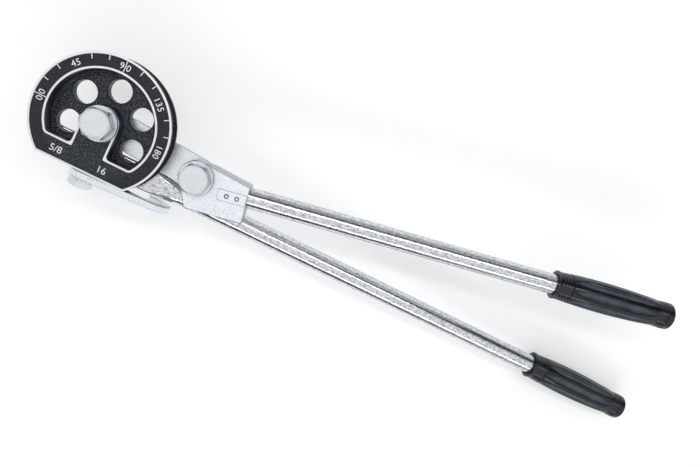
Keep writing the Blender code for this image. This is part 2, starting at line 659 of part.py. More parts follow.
def grip_stations():
    """Distances along the grip with the plain radius there and the flutes' share of their depth."""
    stations = [(0, GRIP_LIP_RADIUS, 0), (GRIP_FRONT_RING_START / 2, GRIP_LIP_RADIUS, 0)]
    stations += ring_stations(GRIP_FRONT_RING_START, GRIP_FRONT_RINGS, GRIP_COLLAR_RADIUS)
    span = GRIP_FLUTE_END - GRIP_FLUTE_START
    for share, depth_share in GRIP_FLUTE_SHARES:
        stations.append((GRIP_FLUTE_START + share * span, belly_radius(share), depth_share))
    stations += ring_stations(GRIP_BACK_RING_START, GRIP_BACK_RINGS, GRIP_NECK_RADIUS)
    stations.append((GRIP_LENGTH - 2 * GRIP_END_ROUND, GRIP_KNOB_RADIUS, 0))
    stations.append((GRIP_LENGTH - GRIP_END_ROUND / 2, GRIP_KNOB_RADIUS - GRIP_END_ROUND / 4, 0))
    stations.append((GRIP_LENGTH, GRIP_KNOB_RADIUS - GRIP_END_ROUND, 0))
    return stations


def ring_stations(start, count, radius):
    """Narrow raised rings along the grip, with a groove after each."""
    stations = []
    for i in range(count):
        at = start + i * GRIP_RING_PITCH
        stations.append((at, radius - GRIP_RING_DEPTH, 0))
        stations.append((at + GRIP_RING_PITCH / 2, radius, 0))
    return stations


def belly_radius(share):
    """The grip's radius along its flutes: collar, belly at two fifths, neck."""
    rise = math.sin(math.pi * min(share / 0.4, 1) / 2)
    fall = max(share - 0.4, 0) / 0.6
    front = GRIP_COLLAR_RADIUS + (GRIP_BELLY_RADIUS - GRIP_COLLAR_RADIUS) * rise
    return front - (GRIP_BELLY_RADIUS - GRIP_NECK_RADIUS) * fall ** 2


def make_grip(name, material):
    """A sleeve along +X from the origin: fluted outside, bored from its mouth, closed at its end."""
    angles = flute_angles()
    flute_shares = (0, 1, 1, 0)
    rings = []
    for at, radius, depth_share in grip_stations():
        rings.append([(at, radius - GRIP_FLUTE_DEPTH * depth_share * flute_shares[i % len(flute_shares)],
                       angle)
                      for i, angle in enumerate(angles)])
    bore = HANDLE_RADIUS + CLEARANCE
    bore_end = GRIP_LENGTH - GRIP_END_WALL
    inside = [[(at, bore, angle) for angle in angles] for at in (bore_end, 0)]

    shape = bmesh.new()
    loops = [[shape.verts.new((at, radius * math.cos(angle), radius * math.sin(angle)))
              for at, radius, angle in loop] for loop in inside + rings]
    count = len(angles)
    for near, far in zip(loops, loops[1:]):
        for i in range(count):
            shape.faces.new((near[i], near[(i + 1) % count], far[(i + 1) % count], far[i]))
    shape.faces.new(loops[0])
    shape.faces.new(reversed(loops[-1]))
    bmesh.ops.recalc_face_normals(shape, faces=shape.faces)
    mesh = bpy.data.meshes.new(name)
    shape.to_mesh(mesh)
    shape.free()
    return place(name, mesh, PARTS, material)


def smooth_step(share):
    share = min(max(share, 0), 1)
    return share * share * (3 - 2 * share)


def form_tube_section(x):
    """Width, thickness, side offset and height of the form tube's outside at a place along X."""
    share = smooth_step((x - FORM_FLAT_END) / (FORM_ROUND_START - FORM_FLAT_END))
    round_size = 2 * HANDLE_RADIUS
    width = FORM_FLAT_WIDTH + (round_size - FORM_FLAT_WIDTH) * share
    thickness = FORM_FLAT_THICKNESS + (round_size - FORM_FLAT_THICKNESS) * share
    side = FORM_FLAT_SIDE + (FORM_HANDLE_SIDE - FORM_FLAT_SIDE) * share
    height = FORM_FLAT_HEIGHT + (FORM_ROUND_HEIGHT - FORM_FLAT_HEIGHT) * share
    return width, thickness, side, height


def form_handle_direction():
    fall = FORM_HANDLE_FALL
    turn = FORM_HANDLE_TURN
    return Vector((math.cos(fall) * math.cos(turn), math.cos(fall) * math.sin(turn), -math.sin(fall)))


def make_form_tube(steel):
    """The form handle's tube: a loft from its flattened, rounded end to the straight round tube."""
    steps = ROUND_STEPS
    sections = []
    end_shares = (0.02, 0.35, 0.7, 1)
    for share in end_shares:
        half = FORM_FLAT_WIDTH / 2
        x = -FORM_FLAT_START - half * math.sqrt(1 - share ** 2)
        width, thickness, side, height = form_tube_section(x)
        width = FORM_FLAT_THICKNESS + (width - FORM_FLAT_THICKNESS) * share
        sections.append((x, width, thickness, side, height))
    count = 7
    for i in range(count + 1):
        x = FORM_FLAT_END + (FORM_ROUND_START - FORM_FLAT_END) * i / count
        sections.append((x, *form_tube_section(x)))

    shape = bmesh.new()
    loops = []
    for x, width, thickness, side, height in sections:
        loops.append([])
        for k in range(steps):
            angle = math.tau * (k + 0.5) / steps
            spread = math.copysign((width - thickness) / 2, math.cos(angle))
            y = spread + thickness / 2 * math.cos(angle) - side
            z = thickness / 2 * math.sin(angle) + height
            loops[-1].append(shape.verts.new((x, y, z)))
    direction = form_handle_direction()
    length = FORM_GRIP_START + GRIP_LENGTH - GRIP_END_WALL - CLEARANCE
    start = Vector((FORM_ROUND_START, -FORM_HANDLE_SIDE, FORM_ROUND_HEIGHT))
    square = Vector((1, 0, 0)).rotation_difference(direction)
    loops.append([shape.verts.new(start + direction * length + square @ (vert.co - start))
                  for vert in loops[-1]])
    for near, far in zip(loops, loops[1:]):
        for i in range(steps):
            shape.faces.new((near[i], near[(i + 1) % steps], far[(i + 1) % steps], far[i]))
    shape.faces.new(loops[0])
    shape.faces.new(reversed(loops[-1]))
    bmesh.ops.recalc_face_normals(shape, faces=shape.faces)
    mesh = bpy.data.meshes.new("form_tube")
    shape.to_mesh(mesh)
    shape.free()
    tube = place("form_tube", mesh, PARTS, steel)

    bore = rod("form_tube_bore_cut", HANDLE_RADIUS - HANDLE_WALL, HANDLE_RADIUS, length + OVERRUN,
               ROUND_STEPS)
    bore.location = start
    bore.rotation_euler = direction.to_track_quat("Z", "Y").to_euler()
    combine(tube, bore)
    for side in (-1, 1):
        hole = rod(f"form_tube_screw_cut_{side + 2}", FORM_SCREW_RADIUS + CLEARANCE,
                   FORM_FLAT_HEIGHT - OVERRUN, FORM_FLAT_HEIGHT + OVERRUN, SMALL_STEPS)
        hole.location = (side * FORM_SCREW_SPREAD, -FORM_FLAT_SIDE, 0)
        combine(tube, hole)
    freeze(tube)


def make_form_screws(steel):
    """The two screws that hold the form tube's flat end to the wheel's back, heads downwards."""
    head_top = FORM_FLAT_TOP - FORM_FLAT_THICKNESS - CLEARANCE
    shank = WHEEL_BOTTOM + FORM_SCREW_REACH - head_top
    for i, side in enumerate((-1, 1)):
        screw = hex_bolt(f"form_screw_{i + 1}", FORM_SCREW_RADIUS, FORM_SCREW_ACROSS_FLATS, 0,
                         FORM_SCREW_HEAD, -shank, math.pi / 6, steel)
        screw.rotation_euler = (math.pi, 0, 0)
        screw.location = (side * FORM_SCREW_SPREAD, -FORM_FLAT_SIDE, head_top)


def make_grips(vinyl, axis):
    """Both grips, each pushed onto the end of its tube."""
    grip = make_grip("shoe_grip", vinyl)
    start = SHOE_GRIP_START - BLOCK_END
    grip.location = (BLOCK_END + start * math.cos(SHOE_HANDLE_RISE), -SHOE_HANDLE_OFFSET,
                     GROOVE_HEIGHT + start * math.sin(SHOE_HANDLE_RISE))
    grip.rotation_euler = (0, -SHOE_HANDLE_RISE, 0)
    grip.parent = axis
    grip = make_grip("form_grip", vinyl)
    origin = Vector((FORM_ROUND_START, -FORM_HANDLE_SIDE, FORM_ROUND_HEIGHT))
    grip.location = origin + form_handle_direction() * FORM_GRIP_START
    grip.rotation_euler = (0, FORM_HANDLE_FALL, FORM_HANDLE_TURN)


def hook_outline():
    """The hook about its pivot, +X towards its throat and +Y towards its bar."""
    throat = (HOOK_REACH, 0)
    outer = HOOK_THROAT_RADIUS + HOOK_ARM_WIDTH
    slope = math.asin((outer - HOOK_BOSS_RADIUS) / HOOK_REACH)
    tangent = math.pi / 2 + slope
    boss_end = math.radians(320)
    boss = arc((0, 0), HOOK_BOSS_RADIUS, tangent, boss_end, 18)
    corners = [(x, y, 0) for x, y in boss]
    bar_top = HOOK_BOSS_RADIUS / math.cos(slope)
    neck = HOOK_REACH / 2
    corners += [
        (HOOK_BOSS_RADIUS, bar_top - HOOK_BAR_WIDTH - HOOK_BOSS_RADIUS / 3, HOOK_BAR_WIDTH / 3),
        (neck, bar_top + neck * math.tan(slope) - HOOK_BAR_WIDTH, HOOK_BAR_WIDTH),
        (HOOK_REACH - HOOK_THROAT_RADIUS, HOOK_THROAT_RADIUS, HOOK_THROAT_RADIUS),
    ]
    corners += [(x, y, 0) for x, y in arc(throat, HOOK_THROAT_RADIUS, math.pi / 2, -math.pi / 2, 16)]
    tip = HOOK_REACH - HOOK_TIP_LENGTH
    corners += [
        (tip, -HOOK_THROAT_RADIUS, HOOK_TIP_LENGTH),
        (tip, -outer, HOOK_TIP_LENGTH),
    ]
    corners += [(x, y, 0) for x, y in arc(throat, outer, -math.pi / 2, tangent, 24)]
    return rounded(corners)


def make_hook(plated, steel):
    """The tube hook on the wheel's chord, and its bolt and washer."""
    bore = arc((0, 0), HOOK_BOLT_RADIUS + CLEARANCE, 0, math.tau, SMALL_STEPS)[:-1]
    hook = plate("tube_hook", [hook_outline(), bore], -HOOK_THICKNESS / 2, HOOK_THICKNESS,
                 PARTS, plated)
    soften(hook, HOOK_EDGE_ROUND, 1, math.radians(50))
    hook.location = (HOOK_PIVOT_X, HOOK_PLATE_Y, GROOVE_HEIGHT)
    hook.rotation_euler = (math.pi / 2, -HOOK_REST_ANGLE, 0)
    freeze(hook)

    washer = ring("hook_washer", HOOK_WASHER_RADIUS, HOOK_BOLT_RADIUS + CLEARANCE, 0,
                  HOOK_WASHER_THICKNESS, HOLE_STEPS, PARTS, steel)
    head_bottom = HOOK_WASHER_THICKNESS + CLEARANCE
    tail = CHORD_DISTANCE + HOOK_WASHER_Y - HOOK_BOLT_REACH
    bolt = hex_bolt("hook_bolt", HOOK_BOLT_RADIUS, HOOK_BOLT_ACROSS_FLATS, head_bottom,
                    HOOK_BOLT_HEAD, tail, math.pi / 6, steel)
    for piece in (washer, bolt):
        piece.location = (HOOK_PIVOT_X, HOOK_WASHER_Y, GROOVE_HEIGHT)
        piece.rotation_euler = (math.pi / 2, 0, 0)


def main():
    enamel = finish("black_enamel", (0.012, 0.015, 0.02), 0.45, 0.0)
    plated = finish("zinc_plate", (0.62, 0.63, 0.65), 0.35, 1.0)
    casting = finish("plated_casting", (0.60, 0.61, 0.63), 0.45, 1.0)
    steel = finish("bright_steel", (0.66, 0.66, 0.66), 0.28, 1.0)
    bronze = finish("bronze", (0.42, 0.26, 0.10), 0.4, 1.0)
    vinyl = finish("slate_vinyl", (0.03, 0.04, 0.05), 0.3, 0.0)

    make_form_wheel(enamel)
    make_pivot_stack(steel)
    make_link(plated, bronze)
    make_shoe_stack(steel, bronze)
    axis = shoe_frame()
    make_shoe_block(casting, steel, axis)
    make_form_tube(steel)
    make_form_screws(steel)
    make_grips(vinyl, axis)
    make_hook(plated, steel)


main()
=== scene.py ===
"""Lever tube bender: finely modelled pieces and finishes, built round the packed model.

Metres, +Z up along the form wheel's axis, +X towards the form handle's grip.
"""

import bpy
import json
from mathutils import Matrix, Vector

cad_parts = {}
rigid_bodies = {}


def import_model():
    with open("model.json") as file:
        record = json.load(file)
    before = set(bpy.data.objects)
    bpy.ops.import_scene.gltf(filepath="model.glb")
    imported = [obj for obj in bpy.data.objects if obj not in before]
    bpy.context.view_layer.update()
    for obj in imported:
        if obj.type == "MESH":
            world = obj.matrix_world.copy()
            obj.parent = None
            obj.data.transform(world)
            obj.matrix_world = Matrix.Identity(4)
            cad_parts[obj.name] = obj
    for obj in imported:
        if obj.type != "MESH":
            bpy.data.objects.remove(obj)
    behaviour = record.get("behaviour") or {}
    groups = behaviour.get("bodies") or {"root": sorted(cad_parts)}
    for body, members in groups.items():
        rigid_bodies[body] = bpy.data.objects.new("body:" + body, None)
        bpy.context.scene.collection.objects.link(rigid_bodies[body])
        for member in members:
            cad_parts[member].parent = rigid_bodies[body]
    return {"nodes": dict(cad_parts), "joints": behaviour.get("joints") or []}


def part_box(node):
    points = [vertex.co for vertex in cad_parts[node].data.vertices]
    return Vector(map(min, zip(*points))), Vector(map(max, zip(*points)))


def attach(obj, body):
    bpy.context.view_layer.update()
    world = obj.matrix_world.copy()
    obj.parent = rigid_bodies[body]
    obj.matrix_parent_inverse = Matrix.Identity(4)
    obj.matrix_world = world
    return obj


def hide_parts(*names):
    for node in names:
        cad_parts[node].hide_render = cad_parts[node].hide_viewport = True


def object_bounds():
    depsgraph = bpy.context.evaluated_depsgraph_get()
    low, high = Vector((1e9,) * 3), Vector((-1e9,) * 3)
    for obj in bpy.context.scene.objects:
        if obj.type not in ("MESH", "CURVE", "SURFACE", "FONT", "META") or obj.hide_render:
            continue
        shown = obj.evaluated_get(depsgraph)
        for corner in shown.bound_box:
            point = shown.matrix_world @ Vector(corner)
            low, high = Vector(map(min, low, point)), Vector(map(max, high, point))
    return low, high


bl_info = {
    "name": "Lever Tube Bender",
    "version": (1, 0, 0),
    "blender": (4, 5, 0),
    "location": "View3D > Sidebar > Tube Bender",
    "description": "Builds a lever tube bender piece by piece, with its finishes and a studio stage",
    "category": "Object",
}

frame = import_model()

import json
import math

import bmesh
import bpy
from bpy.props import FloatProperty, FloatVectorProperty, IntProperty, PointerProperty
from mathutils import Matrix, Vector


def about(axis, angle):
    """A turn about an axis."""
    return Matrix.Rotation(angle, 4, axis)


def moved(x, y, z):
    """A move by an offset."""
    return Matrix.Translation((x, y, z))


CAD_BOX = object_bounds()
MM = 0.001

# Places and sizes that the packed model already has
WHEEL_LOW, WHEEL_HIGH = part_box("form_wheel")
LINK_LOW, LINK_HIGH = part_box("link_plate")
BLOCK_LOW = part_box("shoe_block")[0]
JOINT_PLACES = {joint["name"]: Vector(joint["pos_m"]) for joint in frame["joints"]}
GROOVE_HEIGHT = (WHEEL_LOW.z + WHEEL_HIGH.z) / 2
SHOE_AXIS = Vector((*JOINT_PLACES["shoe_handle_swing"].xy, 0))
HOOK_AXIS = JOINT_PLACES["hook_swing"]

# Sizes shared by several pieces
OVERRUN = 4 * MM
CLEARANCE = 0.3 * MM
BEND_RADIUS = 57.15 * MM
GROOVE_RADIUS = 8.05 * MM
MAIN_BOLT_RADIUS = 8 * MM
MAIN_BORE = MAIN_BOLT_RADIUS + CLEARANCE
BUSH_BORE = MAIN_BOLT_RADIUS + 2.3 * MM
HANDLE_RADIUS = 9.525 * MM
HANDLE_WALL = 1.6 * MM
BLOCK_END = 46.5 * MM
SHOE_HANDLE_SIDE = 4.95 * MM
PIVOT_TO_SHOE = 88.5 * MM
SHOE_GROOVE_SIDE = PIVOT_TO_SHOE - BEND_RADIUS
FORM_ROUND_START = Vector((88, -30.5, 13)) * MM

# Local frames: the link's, the shoe's with +X along its handle, the two handles' and the hook's
LINK_FRAME = about("Z", math.radians(-3.67))
SHOE_STACK = moved(*SHOE_AXIS)
SHOE_FRAME = SHOE_STACK @ about("Z", math.radians(10.8))
SHOE_HANDLE = (SHOE_FRAME @ moved(BLOCK_END, -SHOE_HANDLE_SIDE, GROOVE_HEIGHT)
               @ about("Y", -math.radians(1)))
FORM_HANDLE = (moved(*FORM_ROUND_START) @ about("Z", math.radians(-0.65))
               @ about("Y", math.radians(3.5)))
HOOK_FRAME = moved(*HOOK_AXIS) @ about("X", math.pi / 2)


def length_setting(name, description, default, low, high):
    """A length for the sidebar, its default and limits given in millimetres."""
    return FloatProperty(name=name, description=description, default=default * MM, min=low * MM,
                         max=high * MM, unit="LENGTH", precision=5)


def colour_setting(name, description, default):
    """A colour for the sidebar."""
    return FloatVectorProperty(name=name, description=description, default=default, min=0, max=1,
                               subtype="COLOR")


class WheelSettings(bpy.types.PropertyGroup):
    """Sizes and colour of the form wheel."""
    line_width: length_setting(
        "Line width", "Width of the raised lines round the rim and the recess", 1.9, 0.5, 4)
    line_height: length_setting(
        "Line height", "How far lines, marks and numbers stand off the face", 0.6, 0.2, 1)
    number_height: length_setting("Number height", "Height of the degree numbers", 5.4, 3, 8)
    recess_depth: length_setting("Recess depth", "Depth of the recess round the hub", 13.6, 2, 18)
    enamel: colour_setting(
        "Enamel", "Colour of the enamel on the casting", (0.0065, 0.0092, 0.0152))


class GripSettings(bpy.types.PropertyGroup):
    """Sizes and colours of the two grips."""
    flutes: IntProperty(
        name="Flutes", description="Number of finger flutes round a grip", default=8, min=4, max=12)
    flute_width: length_setting("Flute width", "Width of a flute at its middle", 7.4, 2, 9)
    flute_depth: length_setting("Flute depth", "Depth of a flute at its middle", 2.1, 0.3, 2.5)
    vinyl: colour_setting("Vinyl", "Colour of the moulded vinyl", (0.0045, 0.0072, 0.0105))
    # The slate colour in the flutes is a painted reflection
    bloom: colour_setting("Bloom", "Colour of the hazed vinyl in the flutes", (0.034, 0.045, 0.059))


class MetalSettings(bpy.types.PropertyGroup):
    """Colour, polish and edges of the plated steel."""
    plate: colour_setting("Zinc plate", "Colour of the handle tubes' plating", (0.80, 0.81, 0.83))
    tube_roughness: FloatProperty(
        name="Tube roughness", description="How softly the handle tubes reflect",
        default=0.18, min=0.05, max=0.8)
    edge_round: length_setting("Edge rounding", "Rounding of the link's edges", 0.5, 0.1, 1)


class StageSettings(bpy.types.PropertyGroup):
    """Light, floor and lens of the studio."""
    floor: colour_setting("Floor", "Colour of the floor", (0.88, 0.885, 0.89))
    room_light: FloatProperty(
        name="Room light", description="Strength of the even light from all sides",
        default=0.62, min=0, max=2)
    key_light: FloatProperty(
        name="Key light", description="Power of which each strip lamp takes its share",
        default=7.5, min=0, max=100, unit="POWER")
    lens: FloatProperty(
        name="Lens", description="Focal length of the camera on a 36 mm sensor",
        default=30.538, min=10, max=200)


def linear(code):
    """A colour written as sRGB hex, as the linear values that a shader takes."""
    parts = [int(code[i:i + 2], 16) / 255 for i in (1, 3, 5)]
    return tuple(((part + 0.055) / 1.055) ** 2.4 if part > 0.04045 else part / 12.92
                 for part in parts) + (1,)


def per_mm(size):
    """The texture scale at which one feature measures so many millimetres."""
    return 1 / (size * MM)


def add(tree, kind, values=None, links=None, **settings):
    """Add a node with its settings, its socket values and its incoming links.

    A link comes from an output, or from a node by its first output.
    """
    made = tree.nodes.new("ShaderNode" + kind)
    for name, value in settings.items():
        setattr(made, name, value)
    for name, value in (values or {}).items():
        made.inputs[name].default_value = value
    for name, source in (links or {}).items():
        output = source.outputs[0] if isinstance(source, bpy.types.Node) else source
        tree.links.new(output, made.inputs[name])
    return made


def start_finish(name, metallic, roughness, uniform=None):
    """A new material with its shader's uniform values, its tree and object coordinates."""
    made = bpy.data.materials.new(name)
    made.use_nodes = True
    tree = made.node_tree
    values = {"Metallic": metallic, "Roughness": roughness, **(uniform or {})}
    for socket, value in values.items():
        tree.nodes["Principled BSDF"].inputs[socket].default_value = value
    return made, tree, add(tree, "TexCoord").outputs["Object"]


def grained(made, share, low_colour, high_colour, grain, strength, relief, gloss=None, rough=None):
    """Join a finish up: two colours mixed by a share, a grain's relief and a range of gloss.

    The range is the lowest and highest value of the gloss pattern and the roughness at each.
    """
    tree = made.node_tree
    sockets = tree.nodes["Principled BSDF"].inputs
    colour = add(tree, "Mix", {6: low_colour, 7: high_colour}, {0: share}, data_type="RGBA")
    tree.links.new(colour.outputs[2], sockets["Base Color"])
    bump = add(tree, "Bump", {"Strength": strength, "Distance": relief * MM}, {"Height": grain})
    tree.links.new(bump.outputs[0], sockets["Normal"])
    if rough:
        values = dict(zip(("From Min", "From Max", "To Min", "To Max"), rough))
        polish = add(tree, "MapRange", values, {"Value": gloss})
        tree.links.new(polish.outputs[0], sockets["Roughness"])
    return made


def enamelled_cast_iron():
    """Black stove enamel over a sand casting, the grain's peaks painted paler as glints."""
    made, tree, place = start_finish("enamelled_cast_iron", 0, 0.36, {"Specular IOR Level": 0.3})
    sand = add(tree, "TexNoise", {"Scale": per_mm(0.8), "Detail": 3, "Roughness": 0.7},
               {"Vector": place})
    swell = add(tree, "TexNoise", {"Scale": per_mm(6), "Detail": 2}, {"Vector": place})
    # Peaks of the grain are painted paler: painted glints of light off the sand grain
    peak = add(tree, "MapRange", {"From Min": 0.54, "From Max": 0.7}, {"Value": sand})
    # The rim beyond the recess was dressed smoother before enamelling, so its painted glints fade
    # out
    flat = add(tree, "VectorMath", {1: (1, 1, 0)}, {0: place}, operation="MULTIPLY")
    reach = add(tree, "VectorMath", {}, {0: flat}, operation="LENGTH").outputs["Value"]
    dressed = add(tree, "MapRange", {"From Min": RECESS_RADIUS, "From Max": DRESSED_RADIUS,
                                     "To Min": 1, "To Max": 0.35}, {"Value": reach})
    painted_glint = add(tree, "Math", {}, {0: peak, 1: dressed}, operation="MULTIPLY")
    enamel = (*bpy.context.scene.bender_wheel.enamel, 1)
    return grained(made, painted_glint, enamel, linear("#8b97a3"), sand, 0.75, 0.22, swell,
                   (0.35, 0.65, 0.3, 0.5))


def linished_cast_iron():
    """Raised lines and marks rubbed bright on a belt: bare iron, satin, with the belt's grain."""
    made, tree, place = start_finish("linished_cast_iron", 1, 0.42)
    belt = add(tree, "Mapping", {"Scale": (1, 9, 1)}, {"Vector": place})
    grain = add(tree, "TexNoise", {"Scale": per_mm(1.6), "Detail": 3}, {"Vector": belt})
    return grained(made, grain, linear("#d3d6d8"), linear("#f3f5f6"), grain, 0.3, 0.05)


def plated_steel(name, grain_size, relief, roughness, pale, dark):
    """Zinc-plated steel: pale and soft, with darker pits in the grain that lies under the plate."""
    made, tree, place = start_finish(name, 1, roughness)
    grain = add(tree, "TexNoise", {"Scale": per_mm(grain_size), "Detail": 4, "Roughness": 0.6},
                {"Vector": place})
    tone = add(tree, "MapRange", {"From Min": 0.36, "From Max": 0.5}, {"Value": grain})
    return grained(made, tone, linear(dark), linear(pale), grain, 0.6, relief, grain,
                   (0.3, 0.7, roughness - 0.07, roughness + 0.09))


def drawn_tube():
    """Drawn and plated steel tube: bright and dark bands, speckled with short drawing marks."""
    metal = bpy.context.scene.bender_metal
    roughness = metal.tube_roughness
    made, tree, place = start_finish("drawn_tube", 1, roughness)
    # Short marks along the tube from drawing it, drawn coarse enough to break up the reflections
    stretch = add(tree, "Mapping", {"Scale": (0.35, 1, 1)}, {"Vector": place})
    marks = add(tree, "TexNoise", {"Scale": per_mm(1.1), "Detail": 3, "Roughness": 0.7},
                {"Vector": stretch})
    tone = add(tree, "MapRange", {"From Min": 0.38, "From Max": 0.58}, {"Value": marks})
    return grained(made, tone, linear("#a4a9b0"), (*metal.plate, 1), marks, 0.5, 0.06, marks,
                   (0.3, 0.7, roughness - 0.04, roughness + 0.06))


def sintered_bronze():
    """Sintered bronze bearing: brown-gold, matte from its pores and a little oily."""
    made, tree, place = start_finish("sintered_bronze", 1, 0.45)
    pores = add(tree, "TexNoise", {"Scale": per_mm(0.5), "Detail": 3}, {"Vector": place})
    return grained(made, pores, linear("#6d4f2c"), linear("#b08a55"), pores, 0.4, 0.04)


def moulded_vinyl(name, colour_name, patch):
    """Glossy moulded vinyl: slate black, wet highlights, faint ripples along the mould's length."""
    made, tree, place = start_finish(name, 0, 0.16, {"Specular IOR Level": 0.38,
                                                     "Coat Weight": 0.12, "Coat Roughness": 0.06})
    ripple = add(tree, "Mapping", {"Scale": (0.12, 1, 1)}, {"Vector": place})
    lines = add(tree, "TexNoise", {"Scale": per_mm(0.9), "Detail": 2, "Roughness": 0.5},
                {"Vector": ripple})
    bloom = add(tree, "TexNoise", {"Scale": per_mm(12), "Detail": 3}, {"Vector": place})
    tone = add(tree, "MapRange", {"From Min": 0.4, "From Max": 0.7}, {"Value": bloom})
    vinyl = (*getattr(bpy.context.scene.bender_grip, colour_name), 1)
    return grained(made, tone, vinyl, linear(patch), lines, 0.35, 0.06, bloom,
                   (0.3, 0.7, 0.11, 0.22))


# What makes each finish, and with which settings
FINISHES = {
    "enamel": (enamelled_cast_iron,),
    "line": (linished_cast_iron,),
    # Investment casting under plate: a grain as of fine sandpaper, drawn coarse enough to show
    "casting": (plated_steel, "plated_casting", 0.8, 0.12, 0.42, "#f1f4f8", "#c3ccd7"),
    # Rolled plate under plate: smooth, with a few pits
    "plated": (plated_steel, "plated_strip", 1.1, 0.05, 0.34, "#eaeef2", "#c6ced7"),
    # Upright sides: rougher where sheared or sawn, and greyer still as painted shade
    "side": (plated_steel, "plated_sheared_edge", 0.8, 0.12, 0.38, "#bcc2c4", "#959da1"),
    # Rounded edges between faces and sides: a fine dark outline of painted shade
    "edge": (plated_steel, "plated_tumbled_edge", 0.8, 0.04, 0.4, "#868e99", "#5b6472"),
    # Flats of a hexagon, cold-forged under plate: smooth, with painted shade darker than the top
    "flat": (plated_steel, "plated_hexagon_flat", 1.2, 0.03, 0.3, "#9ba1a7", "#6a7078"),
    # Forged head under plate: softly mottled
    "steel": (plated_steel, "plated_forging", 1.1, 0.06, 0.36, "#dfe2e5", "#cbd0d5"),
    "tube_steel": (drawn_tube,),
    "bronze": (sintered_bronze,),
    "vinyl": (moulded_vinyl, "moulded_vinyl", "vinyl", "#181f26"),
    # The hollows of the flutes are painted slate beside the black ridges: a painted reflection
    "flute": (moulded_vinyl, "hazed_vinyl", "bloom", "#46515e"),
}
MADE_FINISHES = {}


def finish_of(key):
    """The material of that key, made once."""
    if key not in MADE_FINISHES:
        make, *details = FINISHES[key]
        MADE_FINISHES[key] = make(*details)
    return MADE_FINISHES[key]


def shaped(data, *steps):
    """The mesh of a curve, text or mesh after modifiers, each step a kind and its settings."""
    item = bpy.data.objects.new("draft", data)
    bpy.context.scene.collection.objects.link(item)
    for kind, settings in steps:
        modifier = item.modifiers.new(kind.lower(), kind)
        for key, value in settings.items():
            setattr(modifier, key, value)
    bpy.context.view_layer.update()
    drawn = item.evaluated_get(bpy.context.evaluated_depsgraph_get())
    result = bpy.data.meshes.new_from_object(drawn)
    bpy.data.objects.remove(item, do_unlink=True)
    return result


def carved(mesh, tools, operation="DIFFERENCE"):
    """The mesh cut or trimmed by other meshes."""
    helpers = [bpy.data.objects.new("tool", tool) for tool in tools]
    for helper in helpers:
        bpy.context.scene.collection.objects.link(helper)
    result = shaped(mesh, *[("BOOLEAN", {"operation": operation, "solver": "EXACT",
                                         "object": helper}) for helper in helpers])
    for helper in helpers:
        bpy.data.objects.remove(helper, do_unlink=True)
    return result


def softened(mesh, width, angle):
    """The mesh with its edges that are sharper than an angle rounded."""
    return shaped(mesh, ("BEVEL", {"width": width, "segments": 2, "limit_method": "ANGLE",
                                   "angle_limit": angle, "use_clamp_overlap": True}))


def tidy(shape, name):
    """A mesh of a bmesh with doubles merged and faces turned outwards."""
    bmesh.ops.remove_doubles(shape, verts=shape.verts, dist=0.001 * MM)
    bmesh.ops.recalc_face_normals(shape, faces=shape.faces)
    mesh = bpy.data.meshes.new(name)
    shape.to_mesh(mesh)
    shape.free()
    return mesh


def turned(profile, steps=96, closed=False):
    """A (radius, height) profile turned about Z; an open one starts and ends on the axis."""
    shape = bmesh.new()
    points = [shape.verts.new((radius, 0, height)) for radius, height in profile]
    edges = [shape.edges.new(pair) for pair in zip(points, points[1:])]
    if closed:
        edges.append(shape.edges.new((points[-1], points[0])))
    bmesh.ops.spin(shape, geom=points + edges, axis=(0, 0, 1), angle=math.tau, steps=steps,
                   use_merge=True)
    return tidy(shape, "turned")


def rod(radius, low, high, steps=96):
    """A cylinder along Z."""
    return turned([(0, low), (radius, low), (radius, high), (0, high)], steps)


def box_between(low, high):
    """A box between two corners."""
    shape = bmesh.new()
    bmesh.ops.create_cube(shape, size=1)
    bmesh.ops.scale(shape, vec=Vector(high) - Vector(low), verts=shape.verts)
    bmesh.ops.translate(shape, verts=shape.verts, vec=(Vector(high) + Vector(low)) / 2)
    return tidy(shape, "box")


def winding(outline):
    """Twice the area inside an outline, positive when it runs anticlockwise."""
    return sum(a[0] * b[1] - b[0] * a[1] for a, b in zip(outline, outline[1:] + outline[:1]))


def slab(outlines, bottom, thickness, edge=0, steps=3):
    """A flat outline, with its holes as further outlines, as a plate with rounded edges."""
    curve = bpy.data.curves.new("outline", "CURVE")
    curve.dimensions = "2D"
    curve.fill_mode = "BOTH"
    curve.extrude = thickness / 2 - edge
    curve.bevel_depth = edge
    curve.bevel_resolution = steps
    curve.offset = -edge
    for i, outline in enumerate(outlines):
        # The round of the edges runs inwards from the border and outwards from the holes
        points = outline if (winding(outline) > 0) == (i == 0) else outline[::-1]
        spline = curve.splines.new("POLY")
        spline.points.add(len(points) - 1)
        for point, (x, y) in zip(spline.points, points):
            point.co = (x, y, 0, 1)
        spline.use_cyclic_u = True
    shape = bmesh.new()
    shape.from_mesh(shaped(curve))
    bmesh.ops.translate(shape, verts=shape.verts, vec=(0, 0, bottom + thickness / 2))
    return tidy(shape, "slab")


def lofted(loops, name):
    """A closed skin over loops of points, all with the same count."""
    shape = bmesh.new()
    rows = [[shape.verts.new(point) for point in loop] for loop in loops]
    count = len(rows[0])
    for near, far in zip(rows, rows[1:]):
        for i in range(count):
            after = (i + 1) % count
            shape.faces.new((near[i], near[after], far[after], far[i]))
    shape.faces.new(rows[0])
    shape.faces.new(reversed(rows[-1]))
    return tidy(shape, name)


def skin(stations, steps, radius_at, inside=()):
    """A closed skin about +X: an outer radius at each station and angle, with a bore from one end.

    The bore is a list of (place along X, radius) from the far end of the bore to its mouth.
    """
    angles = [math.tau * i / steps for i in range(steps)]
    loops = [[(at, radius, angle) for angle in angles] for at, radius in inside]
    loops += [[(at, radius_at(at, angle), angle) for angle in angles] for at in stations]
    return lofted([[(at, radius * math.cos(angle), radius * math.sin(angle))
                    for at, radius, angle in loop] for loop in loops], "skin")


